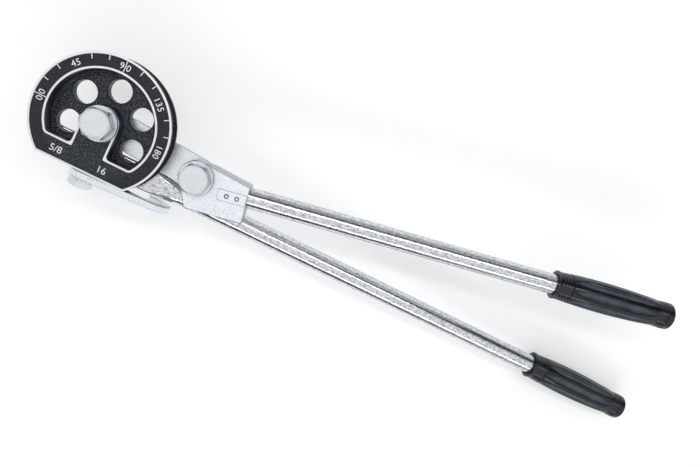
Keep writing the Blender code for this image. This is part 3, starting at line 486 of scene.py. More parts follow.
def arc(centre, radius, start, end, count):
    """Points on an arc, both ends included."""
    return [(centre[0] + radius * math.cos(start + (end - start) * i / count),
             centre[1] + radius * math.sin(start + (end - start) * i / count))
            for i in range(count + 1)]


def circle(centre, radius, count=96):
    """Points on a circle."""
    return arc(centre, radius, 0, math.tau, count)[:-1]


def rounded(corners, steps=8):
    """An outline of (x, y) or (x, y, radius) corners, each rounded to its radius."""
    outline = []
    for i, (x, y, *radius) in enumerate(corners):
        if not radius:
            outline.append((x, y))
            continue
        here = Vector((x, y))
        before = (Vector(corners[i - 1][:2]) - here).normalized()
        after = (Vector(corners[(i + 1) % len(corners)][:2]) - here).normalized()
        half = before.angle(after) / 2
        reach = radius[0] / math.tan(half)
        centre = here + (before + after).normalized() * radius[0] / math.sin(half)
        first = here + before * reach - centre
        last = here + after * reach - centre
        sweep = first.angle_signed(last)
        for k in range(steps + 1):
            outline.append(tuple(centre + Matrix.Rotation(-sweep * k / steps, 2) @ first))
    return outline


# Cosines of a face's lean from the piece's Z: leaning more than SIDE_LEAN is a side, and the rest
# up to EDGE_LEAN is a rounded edge
# Sides and rounded edges take darker finishes than faces: painted shade by how far they lean
SIDE_LEAN = 0.42
EDGE_LEAN = 0.93


def stand(name, mesh, body, finish, stands_for=(), place=None, smooth=35, sides=None,
          edges=None):
    """Show a mesh as a piece of the tool, in its place, riding on its body.

    Its upright sides, such as sheared edges and hexagon flats, and the rounded edges between them
    and its faces may have other, darker finishes: painted shade by how far a face leans from Z.
    Edges sharper than smooth, in degrees, stay sharp.
    """
    mesh.materials.clear()
    for key in (finish, sides or finish, edges or finish):
        mesh.materials.append(finish_of(key))
    # Faces leaning away from Z get the darker finishes: painted shade
    for face in mesh.polygons:
        lean = abs(face.normal.z)
        face.material_index = 1 if lean < SIDE_LEAN else 2 if lean < EDGE_LEAN else 0
    mesh.shade_smooth()
    mesh.set_sharp_from_angle(angle=math.radians(smooth))
    item = bpy.data.objects.new(name, mesh)
    bpy.context.scene.collection.objects.link(item)
    if place is not None:
        item.matrix_world = place
    item.modifiers.new("even_normals", "WEIGHTED_NORMAL").keep_sharp = True
    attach(item, body)
    if stands_for:
        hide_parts(*stands_for)
    return item


def keep(node, finish):
    """Give a packed node that is right as it is its finish."""
    item = frame["nodes"][node]
    item.data.materials.clear()
    item.data.materials.append(finish_of(finish))


# Form wheel
RIM_RADIUS = WHEEL_HIGH.y
CHORD_DISTANCE = -WHEEL_LOW.y
RIM_ROUND = 0.6 * MM
CASTING_ROUND = 0.35 * MM
RECESS_RADIUS = 44.3 * MM
DRESSED_RADIUS = 47.0 * MM
RECESS_FLOOR_EDGE = 25.0 * MM
RECESS_FLOOR_ROUND = 1.6 * MM
RECESS_CORNER = 3.5 * MM
HUB_RADIUS = 15.2 * MM
HUB_ROUND = 0.4 * MM
HOLE_RADIUS = 10.0 * MM
HOLE_CIRCLE = 30.4 * MM
HOLE_COUNT = 5
HOLE_STEP = math.radians(56)
HOLE_EDGE = 0.8 * MM
TICK_WIDTH = 0.8 * MM
TICK_LENGTH = 4.2 * MM
MARK_DEGREES = 15
MARK_STEP = math.radians(MARK_DEGREES)
PLAIN_MARKS = (1, 2, 4, 5, 7, 8, 10, 11)
LONG_MARKS = (0, 6)
NUMBER_CIRCLE = 51.0 * MM
NUMBER_PITCH = 4.1 * MM
SPLIT_GAP = 1.5 * MM
SINK = 0.3 * MM
LINE_ROUND = 0.3 * MM
# Digits, degrees and whether a long mark runs between the digits
DEGREE_NUMBERS = (("00", 0, True), ("45", 45, False), ("90", 90, True), ("135", 135, False),
                  ("180", 180, False))
SIZE_NUMBERS = (("5/8", Vector((-23.5, -34.6, 0)) * MM), ("16", Vector((16.0, -34.6, 0)) * MM))
SIZE_NUMBER_HEIGHT = 6.0 * MM
# Height of a digit as a share of the font's size
DIGIT_SHARE = 0.72
SCREW_PLACES = [Vector((side * 20.0, -29.7, 0)) * MM for side in (-1, 1)]
SCREW_RADIUS = 4.0 * MM
HOOK_BOLT_RADIUS = 6.0 * MM


def recess_outline(grow):
    """The recess round the hub and its pedestal, grown outwards by an offset."""
    radius = RECESS_RADIUS + grow
    bottom = -(RECESS_FLOOR_EDGE + grow)
    side = HUB_RADIUS - grow
    corner_angle = math.asin(bottom / radius)
    lead = 2 * RECESS_CORNER / radius
    corner_x = radius * math.cos(corner_angle)
    corner_round = RECESS_CORNER + grow
    inner_round = max(RECESS_CORNER - grow, RECESS_CORNER / 4)
    rim = arc((0, 0), radius, corner_angle + lead, math.pi - corner_angle - lead, 120)
    hub = arc((0, 0), side, math.pi, 0, 48)
    return rounded([*rim, (-corner_x, bottom, corner_round), (-side, bottom, inner_round), *hub,
                    (side, bottom, inner_round), (corner_x, bottom, corner_round)])


def rim_outline(inset):
    """The wheel's outline with its chord, moved inwards by an inset."""
    radius = RIM_RADIUS - inset
    start = -math.asin((CHORD_DISTANCE - inset) / radius)
    return arc((0, 0), radius, start, math.pi - start, 200)


def wheel_body_mesh(face, recess_depth):
    """The casting up to its face: rim with its groove, chord, recess, holes and bore."""
    half_mouth = math.sqrt(GROOVE_RADIUS ** 2 - (RIM_RADIUS - BEND_RADIUS) ** 2)
    start = math.atan2(half_mouth, RIM_RADIUS - BEND_RADIUS)
    groove = arc((BEND_RADIUS, GROOVE_HEIGHT), GROOVE_RADIUS, start, math.tau - start, 28)
    body = turned(rounded([(MAIN_BORE, face), (RIM_RADIUS, face, RIM_ROUND / 2), *groove,
                           (RIM_RADIUS, WHEEL_LOW.z, RIM_ROUND), (MAIN_BORE, WHEEL_LOW.z)], 4),
                  216, closed=True)
    reach = RIM_RADIUS + OVERRUN
    floor = WHEEL_HIGH.z - recess_depth
    tools = [box_between((-reach, -reach, WHEEL_LOW.z - OVERRUN),
                         (reach, -CHORD_DISTANCE, face + OVERRUN)),
             slab([recess_outline(0)], floor, recess_depth + OVERRUN, RECESS_FLOOR_ROUND)]
    wide = HOLE_RADIUS + HOLE_EDGE + OVERRUN
    for i in range(HOLE_COUNT):
        angle = math.pi / 2 + (i - HOLE_COUNT // 2) * HOLE_STEP
        hole = turned([(0, floor + OVERRUN), (wide, floor + OVERRUN),
                       (HOLE_RADIUS, floor - HOLE_EDGE), (HOLE_RADIUS, WHEEL_LOW.z + HOLE_EDGE),
                       (wide, WHEEL_LOW.z - OVERRUN), (0, WHEEL_LOW.z - OVERRUN)], 72)
        hole.transform(moved(HOLE_CIRCLE * math.cos(angle), HOLE_CIRCLE * math.sin(angle), 0))
        tools.append(hole)
    return softened(carved(body, tools), CASTING_ROUND, math.radians(50))


def number_mesh(text, size):
    """A number in plain sans strokes, centred on the origin, one unit thick."""
    curve = bpy.data.curves.new("number", "FONT")
    curve.body = text
    curve.align_x = "CENTER"
    curve.size = size / DIGIT_SHARE
    curve.extrude = 0.5
    curve.resolution_u = 6
    mesh = shaped(curve)
    centre_y = (max(v.co.y for v in mesh.vertices) + min(v.co.y for v in mesh.vertices)) / 2
    mesh.transform(moved(0, -centre_y, 0))
    return mesh


class BENDER_OT_form_wheel(bpy.types.Operator):
    """Build the cast form wheel with its raised lines, marks and numbers"""
    bl_idname = "bender.form_wheel"
    bl_label = "Form Wheel"

    def execute(self, context):
        size = context.scene.bender_wheel
        face = WHEEL_HIGH.z - size.line_height
        sunk = face - SINK
        height = WHEEL_HIGH.z - sunk
        stand("wheel_casting", wheel_body_mesh(face, size.recess_depth), "form", "enamel",
              ["form_wheel"])
        hub = turned(rounded([(MAIN_BORE, sunk), (HUB_RADIUS, sunk),
                              (HUB_RADIUS, WHEEL_HIGH.z, HUB_ROUND), (MAIN_BORE, WHEEL_HIGH.z)]),
                     closed=True)
        self.raised("wheel_hub_face", hub)
        for name, outline in (("rim", rim_outline), ("recess", recess_outline)):
            # The rim's line runs inwards from the rim, the recess's outwards from the recess
            insets = (0, size.line_width) if name == "rim" else (size.line_width, 0)
            line = slab([outline(inset) for inset in insets], sunk, height, LINE_ROUND)
            self.raised(f"wheel_{name}_line", line)
        self.marks(size.line_width, sunk)
        self.numbers(size.number_height, (sunk + WHEEL_HIGH.z) / 2, height)
        return {"FINISHED"}

    def raised(self, name, mesh, place=None):
        stand(name, mesh, "form", "line", place=place)

    def marks(self, line_width, sunk):
        inner = RIM_RADIUS - line_width
        for i in PLAIN_MARKS + LONG_MARKS:
            end = RECESS_RADIUS + line_width / 2 if i in LONG_MARKS else inner - TICK_LENGTH
            tick = box_between((-TICK_WIDTH / 2, end, sunk),
                               (TICK_WIDTH / 2, inner + line_width / 2, WHEEL_HIGH.z))
            self.raised(f"wheel_mark_{i * MARK_DEGREES}",
                        softened(tick, TICK_WIDTH / 4, math.radians(35)),
                        about("Z", math.pi / 2 - i * MARK_STEP))

    def numbers(self, size, middle, height):
        for text, degrees, split in DEGREE_NUMBERS:
            mark = math.pi - math.radians(degrees)
            for k, digit in enumerate(text):
                along = (k - (len(text) - 1) / 2) * NUMBER_PITCH
                if split:
                    along += math.copysign(SPLIT_GAP / 2, along)
                angle = mark - along / NUMBER_CIRCLE
                mesh = number_mesh(digit, size)
                mesh.transform(about("Z", angle - math.pi / 2) @ moved(0, NUMBER_CIRCLE, middle)
                               @ Matrix.Diagonal((1, 1, height, 1)))
                self.raised(f"wheel_number_{degrees}_{k + 1}", mesh)
        for text, centre in SIZE_NUMBERS:
            mesh = number_mesh(text, SIZE_NUMBER_HEIGHT)
            mesh.transform(moved(*centre.xy, middle) @ Matrix.Diagonal((1, 1, height, 1)))
            self.raised("wheel_size_" + text.replace("/", "_"), mesh)


# Bolts, nuts and washers
MAIN_ACROSS_FLATS = 24 * MM
SCREW_ACROSS_FLATS = 13 * MM
HOOK_ACROSS_FLATS = 18 * MM
SCREW_HEAD_HEIGHT = 5.3 * MM
PIVOT_HEAD_TURN = math.radians(6.5)
SHOE_HEAD_TURN = math.radians(10)
HEX_CHAMFER = math.radians(30)
HEX_CHAMFER_REACH = 0.5 * MM
HEX_ROUND = 0.25 * MM
DISH_RIM = 1.6 * MM
DISH_DEPTH = 0.15 * MM
DISH_SLOPE = 0.3 * MM
NUT_COUNTERSINK = 1 * MM
THREAD_PITCH = 2.0 * MM
THREAD_DEPTH = 1.1 * MM
# The thread's flanks take up its pitch but for a narrow crest
THREAD_FLANK = 1.15
THREAD_CHAMFER = 1.2 * MM
THREAD_CHAMFER_SLOPE = 1.2
WASHER_ROUND = 0.5 * MM
HOOK_WASHER_ROUND = 0.3 * MM


def hexagon_mesh(across_flats, bottom, height, turn, both_ends, cut):
    """A hexagon along Z with its corners chamfered, less a cut, its edges rounded."""
    corner = across_flats / math.sqrt(3)
    prism = slab([[(corner * math.cos(turn + i * math.pi / 3),
                    corner * math.sin(turn + i * math.pi / 3)) for i in range(6)]], bottom, height)
    corner += HEX_CHAMFER_REACH
    flat = across_flats / 2 - HEX_CHAMFER_REACH
    drop = (corner - flat) * math.tan(HEX_CHAMFER)
    top = bottom + height
    profile = [(0, top), (flat, top), (corner, top - drop)]
    profile += [(corner, bottom + drop), (flat, bottom)] if both_ends else [(corner, bottom)]
    envelope = turned(profile + [(0, bottom)])
    return softened(carved(carved(prism, [envelope], "INTERSECT"), [turned(cut)]), HEX_ROUND,
                    math.radians(25))


def head_mesh(across_flats, bottom, height, turn):
    """A bolt's hex head along Z, with a shallow dish in its top."""
    rim = across_flats / 2 - DISH_RIM
    top = bottom + height
    return hexagon_mesh(across_flats, bottom, height, turn, False, [
        (0, top + OVERRUN), (rim + DISH_SLOPE, top + OVERRUN), (rim + DISH_SLOPE, top),
        (rim, top - DISH_DEPTH), (0, top - DISH_DEPTH)])


def nut_mesh(across_flats, bottom, height):
    """A hex nut along Z, its bore countersunk at both ends."""
    top = bottom + height
    wide = MAIN_BORE + OVERRUN
    return hexagon_mesh(across_flats, bottom, height, 0, True, [
        (0, top + OVERRUN), (wide, top + OVERRUN), (MAIN_BORE, top - NUT_COUNTERSINK),
        (MAIN_BORE, bottom + NUT_COUNTERSINK), (wide, bottom - OVERRUN), (0, bottom - OVERRUN)])


def thread_mesh(radius, low, high):
    """A threaded shank along X from low to high, its end at low chamfered."""
    length = high - low
    count = max(int(length / (THREAD_PITCH / 10)), 2)

    def radius_at(at, angle):
        turn = (at / THREAD_PITCH - angle / math.tau) % 1
        crest = radius - THREAD_DEPTH * min(max(1 - abs(2 * turn - 1) * THREAD_FLANK, 0), 1)
        return min(crest, radius - max(THREAD_CHAMFER - (at - low), 0) * THREAD_CHAMFER_SLOPE)

    return skin([low + length * i / count for i in range(count + 1)], 48, radius_at)


def ring_mesh(outer, inner, bottom, thickness, edge):
    """A washer along Z with its edges rounded."""
    top = bottom + thickness
    return turned(rounded([(inner, bottom, edge / 2), (outer, bottom, edge), (outer, top, edge),
                           (inner, top, edge / 2)], 4), closed=True)


def main_stack(prefix, body, place, head_turn):
    """A main pivot's bolt, washers and nut, on their packed heights."""
    low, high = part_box(prefix + "_bolt")
    head_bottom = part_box(prefix + "_washer_front")[1].z + CLEARANCE
    head = head_mesh(MAIN_ACROSS_FLATS, head_bottom, high.z - head_bottom, head_turn)
    # The head's flats and chamfer take darker finishes: painted shade
    stand(prefix + "_bolt_head", head, body, "steel", [prefix + "_bolt"], place,
          sides="flat", edges="side")
    thread = thread_mesh(MAIN_BOLT_RADIUS, low.z, head_bottom + MM)
    thread.transform(about("Y", -math.pi / 2))
    stand(prefix + "_bolt_shank", thread, body, "steel", place=place)
    # Each washer's rounded edges, and the front one's rim too, take the darkest finish: painted
    # shadow
    for side, sides in (("front", "edge"), ("back", None)):
        low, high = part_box(f"{prefix}_washer_{side}")
        ring = ring_mesh((high.x - low.x) / 2, MAIN_BORE, low.z, high.z - low.z, WASHER_ROUND)
        stand(f"{prefix}_{side}_washer", ring, body, "plated",
              [f"{prefix}_washer_{side}"], place, sides=sides, edges="edge")
    low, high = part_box(prefix + "_nut")
    nut = nut_mesh(MAIN_ACROSS_FLATS, low.z, high.z - low.z)
    # The nut's flats take the darker hexagon finish: painted shade
    stand(prefix + "_hex_nut", nut, body, "steel", [prefix + "_nut"], place, sides="flat")


class BENDER_OT_main_pivots(bpy.types.Operator):
    """Build the two main pivots: bolts, washers, nuts and bearings"""
    bl_idname = "bender.main_pivots"
    bl_label = "Main Pivots"

    def execute(self, context):
        main_stack("pivot", "form", Matrix.Identity(4), PIVOT_HEAD_TURN)
        main_stack("shoe", "link", SHOE_STACK, SHOE_HEAD_TURN)
        for node in ("link_bush", "shoe_bush", "shoe_thrust_washer"):
            keep(node, "bronze")
        return {"FINISHED"}


class BENDER_OT_link(bpy.types.Operator):
    """Build the flat strap between the two pivots"""
    bl_idname = "bender.link"
    bl_label = "Link"

    def execute(self, context):
        half = 29.6 * MM / 2
        outline = arc((0, 0), half, math.pi / 2, math.pi * 3 / 2, 64)
        outline += arc((PIVOT_TO_SHOE, 0), half, -math.pi / 2, math.pi / 2, 64)
        strap = slab([outline, circle((0, 0), BUSH_BORE), circle((PIVOT_TO_SHOE, 0), MAIN_BORE)],
                     LINK_LOW.z, LINK_HIGH.z - LINK_LOW.z, context.scene.bender_metal.edge_round)
        # The strap's sides and rounded edges take darker finishes: painted shade
        stand("link_strap", strap, "link", "plated", ["link_plate"], LINK_FRAME,
              sides="side", edges="edge")
        return {"FINISHED"}


# Shoe block
BLOCK_NOSE_RADIUS = 15.5 * MM
BLOCK_GROOVE_EDGE = 27.4 * MM
BLOCK_TOP_AT_END = 5.9 * MM
BLOCK_TOP_AT_NOSE = 13.5 * MM
BLOCK_TOP_START = 13.0 * MM
BLOCK_HEEL_START = 5.0 * MM
BLOCK_HEEL_CHAMFER = 2.8 * MM
BLOCK_ROUND = 1.0 * MM
SLOPE_ACROSS = 2.2 * MM
SLOPE_DOWN = 9.0 * MM
BREAK_EDGE = 0.55 * MM
PAD_LINE = 0.55 * MM
PAD_CENTRE = Vector((32.5, -7.7, 0)) * MM
PAD_LENGTH = 25.4 * MM
PAD_WIDTH = 10.0 * MM
PAD_HEIGHT = 0.4 * MM
PAD_ROUND = 0.15 * MM
PAD_BORDER_PROUD = 0.05 * MM
PIN_RADIUS = 1.75 * MM
PIN_DOME = 0.9 * MM
PIN_SPACING = 9.1 * MM
PIN_HOLE_DEPTH = 4 * MM
SOCKET_DEPTH = 24.0 * MM
SOCKET_MOUTH = 0.6 * MM


def block_outline():
    """The shoe block seen from the front, about the shoe bolt, with the groove edge along -Y."""
    return rounded([
        *arc((0, 0), BLOCK_NOSE_RADIUS, math.radians(102), math.radians(224), 48),
        (-BLOCK_HEEL_START, BLOCK_HEEL_CHAMFER / 2 - BLOCK_GROOVE_EDGE),
        (BLOCK_HEEL_CHAMFER - BLOCK_HEEL_START, -BLOCK_GROOVE_EDGE),
        (BLOCK_END, -BLOCK_GROOVE_EDGE, BLOCK_ROUND),
        (BLOCK_END, BLOCK_TOP_AT_END, 2 * BLOCK_ROUND),
        (BLOCK_TOP_START, BLOCK_TOP_AT_NOSE, 4 * BLOCK_ROUND)])


def pad_outline(inset, radius):
    """The pad's rectangle with rounded corners, moved inwards by an inset."""
    half = Vector((PAD_LENGTH / 2, PAD_WIDTH / 2))
    corners = [PAD_CENTRE.xy + Vector((x * (half.x - inset), y * (half.y - inset)))
               for x, y in ((-1, 1), (-1, -1), (1, -1), (1, 1))]
    return rounded([(*corner, radius) for corner in corners], 6)


def sloped_edge(start, end, top, across, down):
    """A cutter that slopes a plate's top edge, from start to end with the plate on its left."""
    along = (Vector(end) - Vector(start)).normalized()
    outwards = Vector((along.y, -along.x))
    section = ((-across, top), (across, top + OVERRUN), (across, top - down - OVERRUN),
               (0, top - down))
    shape = bmesh.new()
    rows = [[shape.verts.new((*(point + outwards * out), height)) for out, height in section]
            for point in (Vector(start) - along * OVERRUN, Vector(end) + along * OVERRUN)]
    for i in range(4):
        shape.faces.new((rows[0][i], rows[0][i - 1], rows[1][i - 1], rows[1][i]))
    shape.faces.new(rows[0])
    shape.faces.new(reversed(rows[1]))
    return tidy(shape, "slope")


class BENDER_OT_shoe_block(bpy.types.Operator):
    """Build the shoe's casting, its pad and its two pins"""
    bl_idname = "bender.shoe_block"
    bl_label = "Shoe Block"

    def execute(self, context):
        bottom = BLOCK_LOW.z
        top = 2 * GROOVE_HEIGHT - bottom
        body = slab([block_outline()], bottom, top - bottom, BLOCK_ROUND, 4)
        groove = rod(GROOVE_RADIUS, -BLOCK_END, 2 * BLOCK_END)
        groove.transform(moved(0, -SHOE_GROOVE_SIDE, GROOVE_HEIGHT) @ about("Y", math.pi / 2))
        wide = HANDLE_RADIUS + CLEARANCE
        socket = turned([(0, -SOCKET_DEPTH - CLEARANCE), (wide, -SOCKET_DEPTH - CLEARANCE),
                         (wide, -SOCKET_MOUTH), (wide + OVERRUN, OVERRUN), (0, OVERRUN)])
        socket.transform(SHOE_FRAME.inverted() @ SHOE_HANDLE @ about("Y", math.pi / 2))
        tools = [rod(BUSH_BORE, bottom - OVERRUN, top + OVERRUN), groove, socket]
        pins = [PAD_CENTRE + Vector((side * PIN_SPACING / 2, 0, 0)) for side in (-1, 1)]
        for centre in pins:
            hole = rod(PIN_RADIUS + CLEARANCE, top - PIN_HOLE_DEPTH, top + OVERRUN, 32)
            hole.transform(moved(*centre))
            tools.append(hole)
        corner = (BLOCK_END, BLOCK_TOP_AT_END)
        tools.append(sloped_edge(corner, (BLOCK_TOP_START, BLOCK_TOP_AT_NOSE), top, SLOPE_ACROSS,
                                 SLOPE_DOWN))
        tools.append(sloped_edge((BLOCK_END, -BLOCK_GROOVE_EDGE), corner, top,
                                 BLOCK_END - PAD_CENTRE.x - PAD_LENGTH / 2, SLOPE_DOWN / 2))
        casting = softened(carved(body, tools), BREAK_EDGE, math.radians(50))
        # The casting's sides and rounded edges take darker finishes: painted shade
        stand("shoe_casting", casting, "shoe", "casting", ["shoe_block"], SHOE_FRAME,
              smooth=30, sides="side", edges="edge")

        outline = pad_outline(0, 0.6 * MM)
        holes = [circle(centre.xy, PIN_RADIUS + CLEARANCE, 32) for centre in pins]
        pad = slab([outline] + holes, top - SINK, PAD_HEIGHT + SINK, PAD_ROUND)
        stand("shoe_pad", pad, "shoe", "casting", place=SHOE_FRAME, sides="side")
        # The pad's border is a thin line in the greyer side finish: a painted shade line round the
        # pad
        line = slab([outline, pad_outline(PAD_LINE, 0.3 * MM)], top, PAD_HEIGHT + PAD_BORDER_PROUD)
        stand("shoe_pad_border", line, "shoe", "side", place=SHOE_FRAME)
        for i, centre in enumerate(pins):
            low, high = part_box(f"shoe_pin_{i + 1}")
            crown = [(PIN_RADIUS * math.sin(lean), high.z - PIN_DOME * (1 - math.cos(lean)))
                     for lean in (math.radians(15 * k) for k in range(7))]
            pin = turned(crown + [(PIN_RADIUS, low.z), (0, low.z)], 32)
            # The rivet's dome takes darker rings towards its rim: painted shade
            stand(f"shoe_rivet_{i + 1}", pin, "shoe", "steel", [f"shoe_pin_{i + 1}"],
                  SHOE_FRAME @ moved(*centre), sides="edge", edges="side")
        return {"FINISHED"}


# Handle tubes
FORM_FLAT_SIDE = 29.7 * MM
FORM_FLAT_WIDTH = 22.0 * MM
FORM_FLAT_THICKNESS = 4.4 * MM
FORM_FLAT_START = 36.0 * MM
FORM_FLAT_END = 45.0 * MM
FORM_GRIP_START = 377.4 * MM
SHOE_GRIP_START = 334.3 * MM
GRIP_LENGTH = 116.0 * MM
GRIP_END_WALL = 5.0 * MM
TUBE_STEPS = 96
# Shares of the flat's half width at which its round end is drawn, and steps of the transition
FLAT_END_SHARES = (0.02, 0.2, 0.4, 0.6, 0.75, 0.88, 0.96, 1)
TRANSITION_STEPS = 28


def smooth_step(share):
    """A share eased in and out."""
    share = min(max(share, 0), 1)
    return share * share * (3 - 2 * share)


def form_section(x):
    """Width, thickness, side and height of the form tube's outside at a place along X."""
    flat_height = WHEEL_LOW.z - CLEARANCE - FORM_FLAT_THICKNESS / 2
    share = smooth_step((x - FORM_FLAT_END) / (FORM_ROUND_START.x - FORM_FLAT_END))
    flat = (FORM_FLAT_WIDTH, FORM_FLAT_THICKNESS, FORM_FLAT_SIDE, flat_height)
    end = (2 * HANDLE_RADIUS, 2 * HANDLE_RADIUS, -FORM_ROUND_START.y, FORM_ROUND_START.z)
    return [first + (last - first) * share for first, last in zip(flat, end)]


def form_tube_mesh(length):
    """The form handle's tube, from its pressed flat end to the straight round tube."""
    sections = []
    for share in FLAT_END_SHARES:
        x = -FORM_FLAT_START - FORM_FLAT_WIDTH / 2 * math.sqrt(1 - share ** 2)
        width, thickness, side, height = form_section(x)
        width = FORM_FLAT_THICKNESS + (width - FORM_FLAT_THICKNESS) * share
        sections.append((x, width, thickness, side, height))
    for i in range(TRANSITION_STEPS + 1):
        x = FORM_FLAT_END + (FORM_ROUND_START.x - FORM_FLAT_END) * i / TRANSITION_STEPS
        sections.append((x, *form_section(x)))
    loops = []
    for x, width, thickness, side, height in sections:
        loops.append([])
        for k in range(TUBE_STEPS):
            angle = math.tau * (k + 0.5) / TUBE_STEPS
            spread = math.copysign((width - thickness) / 2, math.cos(angle))
            loops[-1].append(Vector((x, spread + thickness / 2 * math.cos(angle) - side,
                                     thickness / 2 * math.sin(angle) + height)))
    square = FORM_HANDLE.to_3x3()
    loops.append([FORM_ROUND_START + square @ (point - FORM_ROUND_START + Vector((length, 0, 0)))
                  for point in loops[-1]])
    flat_height = form_section(0)[3]
    holes = []
    for place in SCREW_PLACES:
        hole = rod(SCREW_RADIUS + CLEARANCE, flat_height - OVERRUN, flat_height + OVERRUN, 48)
        hole.transform(moved(*place))
        holes.append(hole)
    return carved(lofted(loops, "form_tube"), holes)


class BENDER_OT_handle_tubes(bpy.types.Operator):
    """Build both handle tubes and the two screws of the form handle"""
    bl_idname = "bender.handle_tubes"
    bl_label = "Handle Tubes"

    def execute(self, context):
        length = FORM_GRIP_START + GRIP_LENGTH - GRIP_END_WALL - CLEARANCE
        stand("form_handle_tube", form_tube_mesh(length), "form", "tube_steel",
              ["form_tube"])
        length = SHOE_GRIP_START + GRIP_LENGTH - GRIP_END_WALL - CLEARANCE - BLOCK_END
        inside = HANDLE_RADIUS - HANDLE_WALL
        tube = turned([(inside, -SOCKET_DEPTH), (HANDLE_RADIUS, -SOCKET_DEPTH),
                       (HANDLE_RADIUS, length), (inside, length)], TUBE_STEPS, closed=True)
        tube.transform(about("Y", math.pi / 2))
        stand("shoe_handle_tube", tube, "shoe", "tube_steel", ["shoe_tube"],
              SHOE_HANDLE)
        for i, centre in enumerate(SCREW_PLACES):
            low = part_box(f"form_screw_{i + 1}")[0]
            down = moved(*centre.xy, low.z + SCREW_HEAD_HEIGHT) @ about("X", math.pi)
            head = head_mesh(SCREW_ACROSS_FLATS, 0, SCREW_HEAD_HEIGHT, math.pi / 6)
            # The screw head's flats take the darker hexagon finish: painted shade
            stand(f"form_screw_head_{i + 1}", head, "form", "steel",
                  [f"form_screw_{i + 1}"], down, sides="flat")
        return {"FINISHED"}


# Grips
GRIP_LIP_RADIUS = 13.4 * MM
GRIP_COLLAR_RADIUS = 12.9 * MM
GRIP_BELLY_RADIUS = 14.7 * MM
GRIP_NECK_RADIUS = 12.4 * MM
GRIP_KNOB_RADIUS = 12.7 * MM
GRIP_RING_PITCH = 2.8 * MM
GRIP_RING_DEPTH = 0.55 * MM
GRIP_FRONT_RINGS = (3.0 * MM, 14.2 * MM)
GRIP_BACK_RINGS = (101.0 * MM, 109.4 * MM)
GRIP_FLUTE_START = 14.5 * MM
GRIP_FLUTE_END = 100.0 * MM
GRIP_MOUTH_RADIUS = 10.5 * MM
GRIP_MOUTH_DEPTH = 1.6 * MM
GRIP_MOUTH_ROUND = 0.4 * MM
GRIP_END_ROUND = 2.0 * MM
GRIP_STATION_STEP = 0.35 * MM
STEPS_PER_FLUTE = 26
BELLY_SHARE = 0.4
FLUTE_TAPER = 5.5
FLUTE_REFLECTION_START_SHARE = 0.3


def grip_plain_radius(at):
    """The grip's radius without its flutes: lip, ringed collar, belly, ringed neck and knob."""
    belly_place = GRIP_FLUTE_START + BELLY_SHARE * (GRIP_FLUTE_END - GRIP_FLUTE_START)
    front, back = GRIP_FRONT_RINGS[0], GRIP_BACK_RINGS[0]
    if at < front:
        return GRIP_LIP_RADIUS - (GRIP_LIP_RADIUS - GRIP_COLLAR_RADIUS) * (at / front) ** 2
    if at < belly_place:
        share = (at - front) / (belly_place - front)
        return GRIP_COLLAR_RADIUS + (GRIP_BELLY_RADIUS - GRIP_COLLAR_RADIUS) * math.sin(
            math.pi / 2 * share)
    if at < back:
        share = (at - belly_place) / (back - belly_place)
        return GRIP_BELLY_RADIUS - (GRIP_BELLY_RADIUS - GRIP_NECK_RADIUS) * share ** 2
    share = (at - back) / (GRIP_LENGTH - back)
    return GRIP_NECK_RADIUS + (GRIP_KNOB_RADIUS - GRIP_NECK_RADIUS) * smooth_step(share * 1.5)


def grip_mesh(size):
    """A grip along +X from its mouth, fluted and ringed, its far end rounded and closed."""
    count = int(GRIP_LENGTH / GRIP_STATION_STEP)
    pitch = math.tau / size.flutes

    def radius_at(at, angle):
        radius = grip_plain_radius(at)
        for low, high in (GRIP_FRONT_RINGS, GRIP_BACK_RINGS):
            if low <= at <= high:
                radius -= GRIP_RING_DEPTH * (0.5 + 0.5 * math.cos(math.tau * (at - low)
                                                                  / GRIP_RING_PITCH))
        share = (at - GRIP_FLUTE_START) / (GRIP_FLUTE_END - GRIP_FLUTE_START)
        if 0 < share < 1:
            taper = min(1, (FLUTE_TAPER * share) ** 0.75, (FLUTE_TAPER * (1 - share)) ** 0.75)
            reach = size.flute_width / 2 / radius * taper
            turn = abs((angle + pitch / 2) % pitch - pitch / 2) / reach
            if turn < 1:
                radius -= size.flute_depth * taper * (1 - turn ** 2)
        past = at - (GRIP_LENGTH - GRIP_END_ROUND)
        if past > 0:
            radius -= GRIP_END_ROUND - math.sqrt(max(GRIP_END_ROUND ** 2 - past ** 2, 0))
        return radius

    bore = HANDLE_RADIUS + CLEARANCE
    inside = [(GRIP_LENGTH - GRIP_END_WALL, bore), (GRIP_MOUTH_DEPTH, bore),
              (GRIP_MOUTH_DEPTH / 2, (bore + GRIP_MOUTH_RADIUS) / 2 - 0.3 * MM),
              (0.3 * MM, GRIP_MOUTH_RADIUS), (0, GRIP_MOUTH_RADIUS + GRIP_MOUTH_ROUND),
              (0, GRIP_LIP_RADIUS - GRIP_MOUTH_ROUND)]
    return skin([GRIP_LENGTH * i / count for i in range(1, count + 1)],
                STEPS_PER_FLUTE * size.flutes, radius_at, inside)


def paint_flute_reflection(item, depth):
    """Give the faces well inside a grip's flutes the slate finish of a painted reflection."""
    item.data.materials.append(finish_of("flute"))
    for face in item.data.polygons:
        at, side, height = face.center
        cut = grip_plain_radius(at) - math.hypot(side, height)
        if GRIP_FLUTE_START < at < GRIP_FLUTE_END and depth * FLUTE_REFLECTION_START_SHARE < cut < 2 * depth:
            face.material_index = len(item.data.materials) - 1


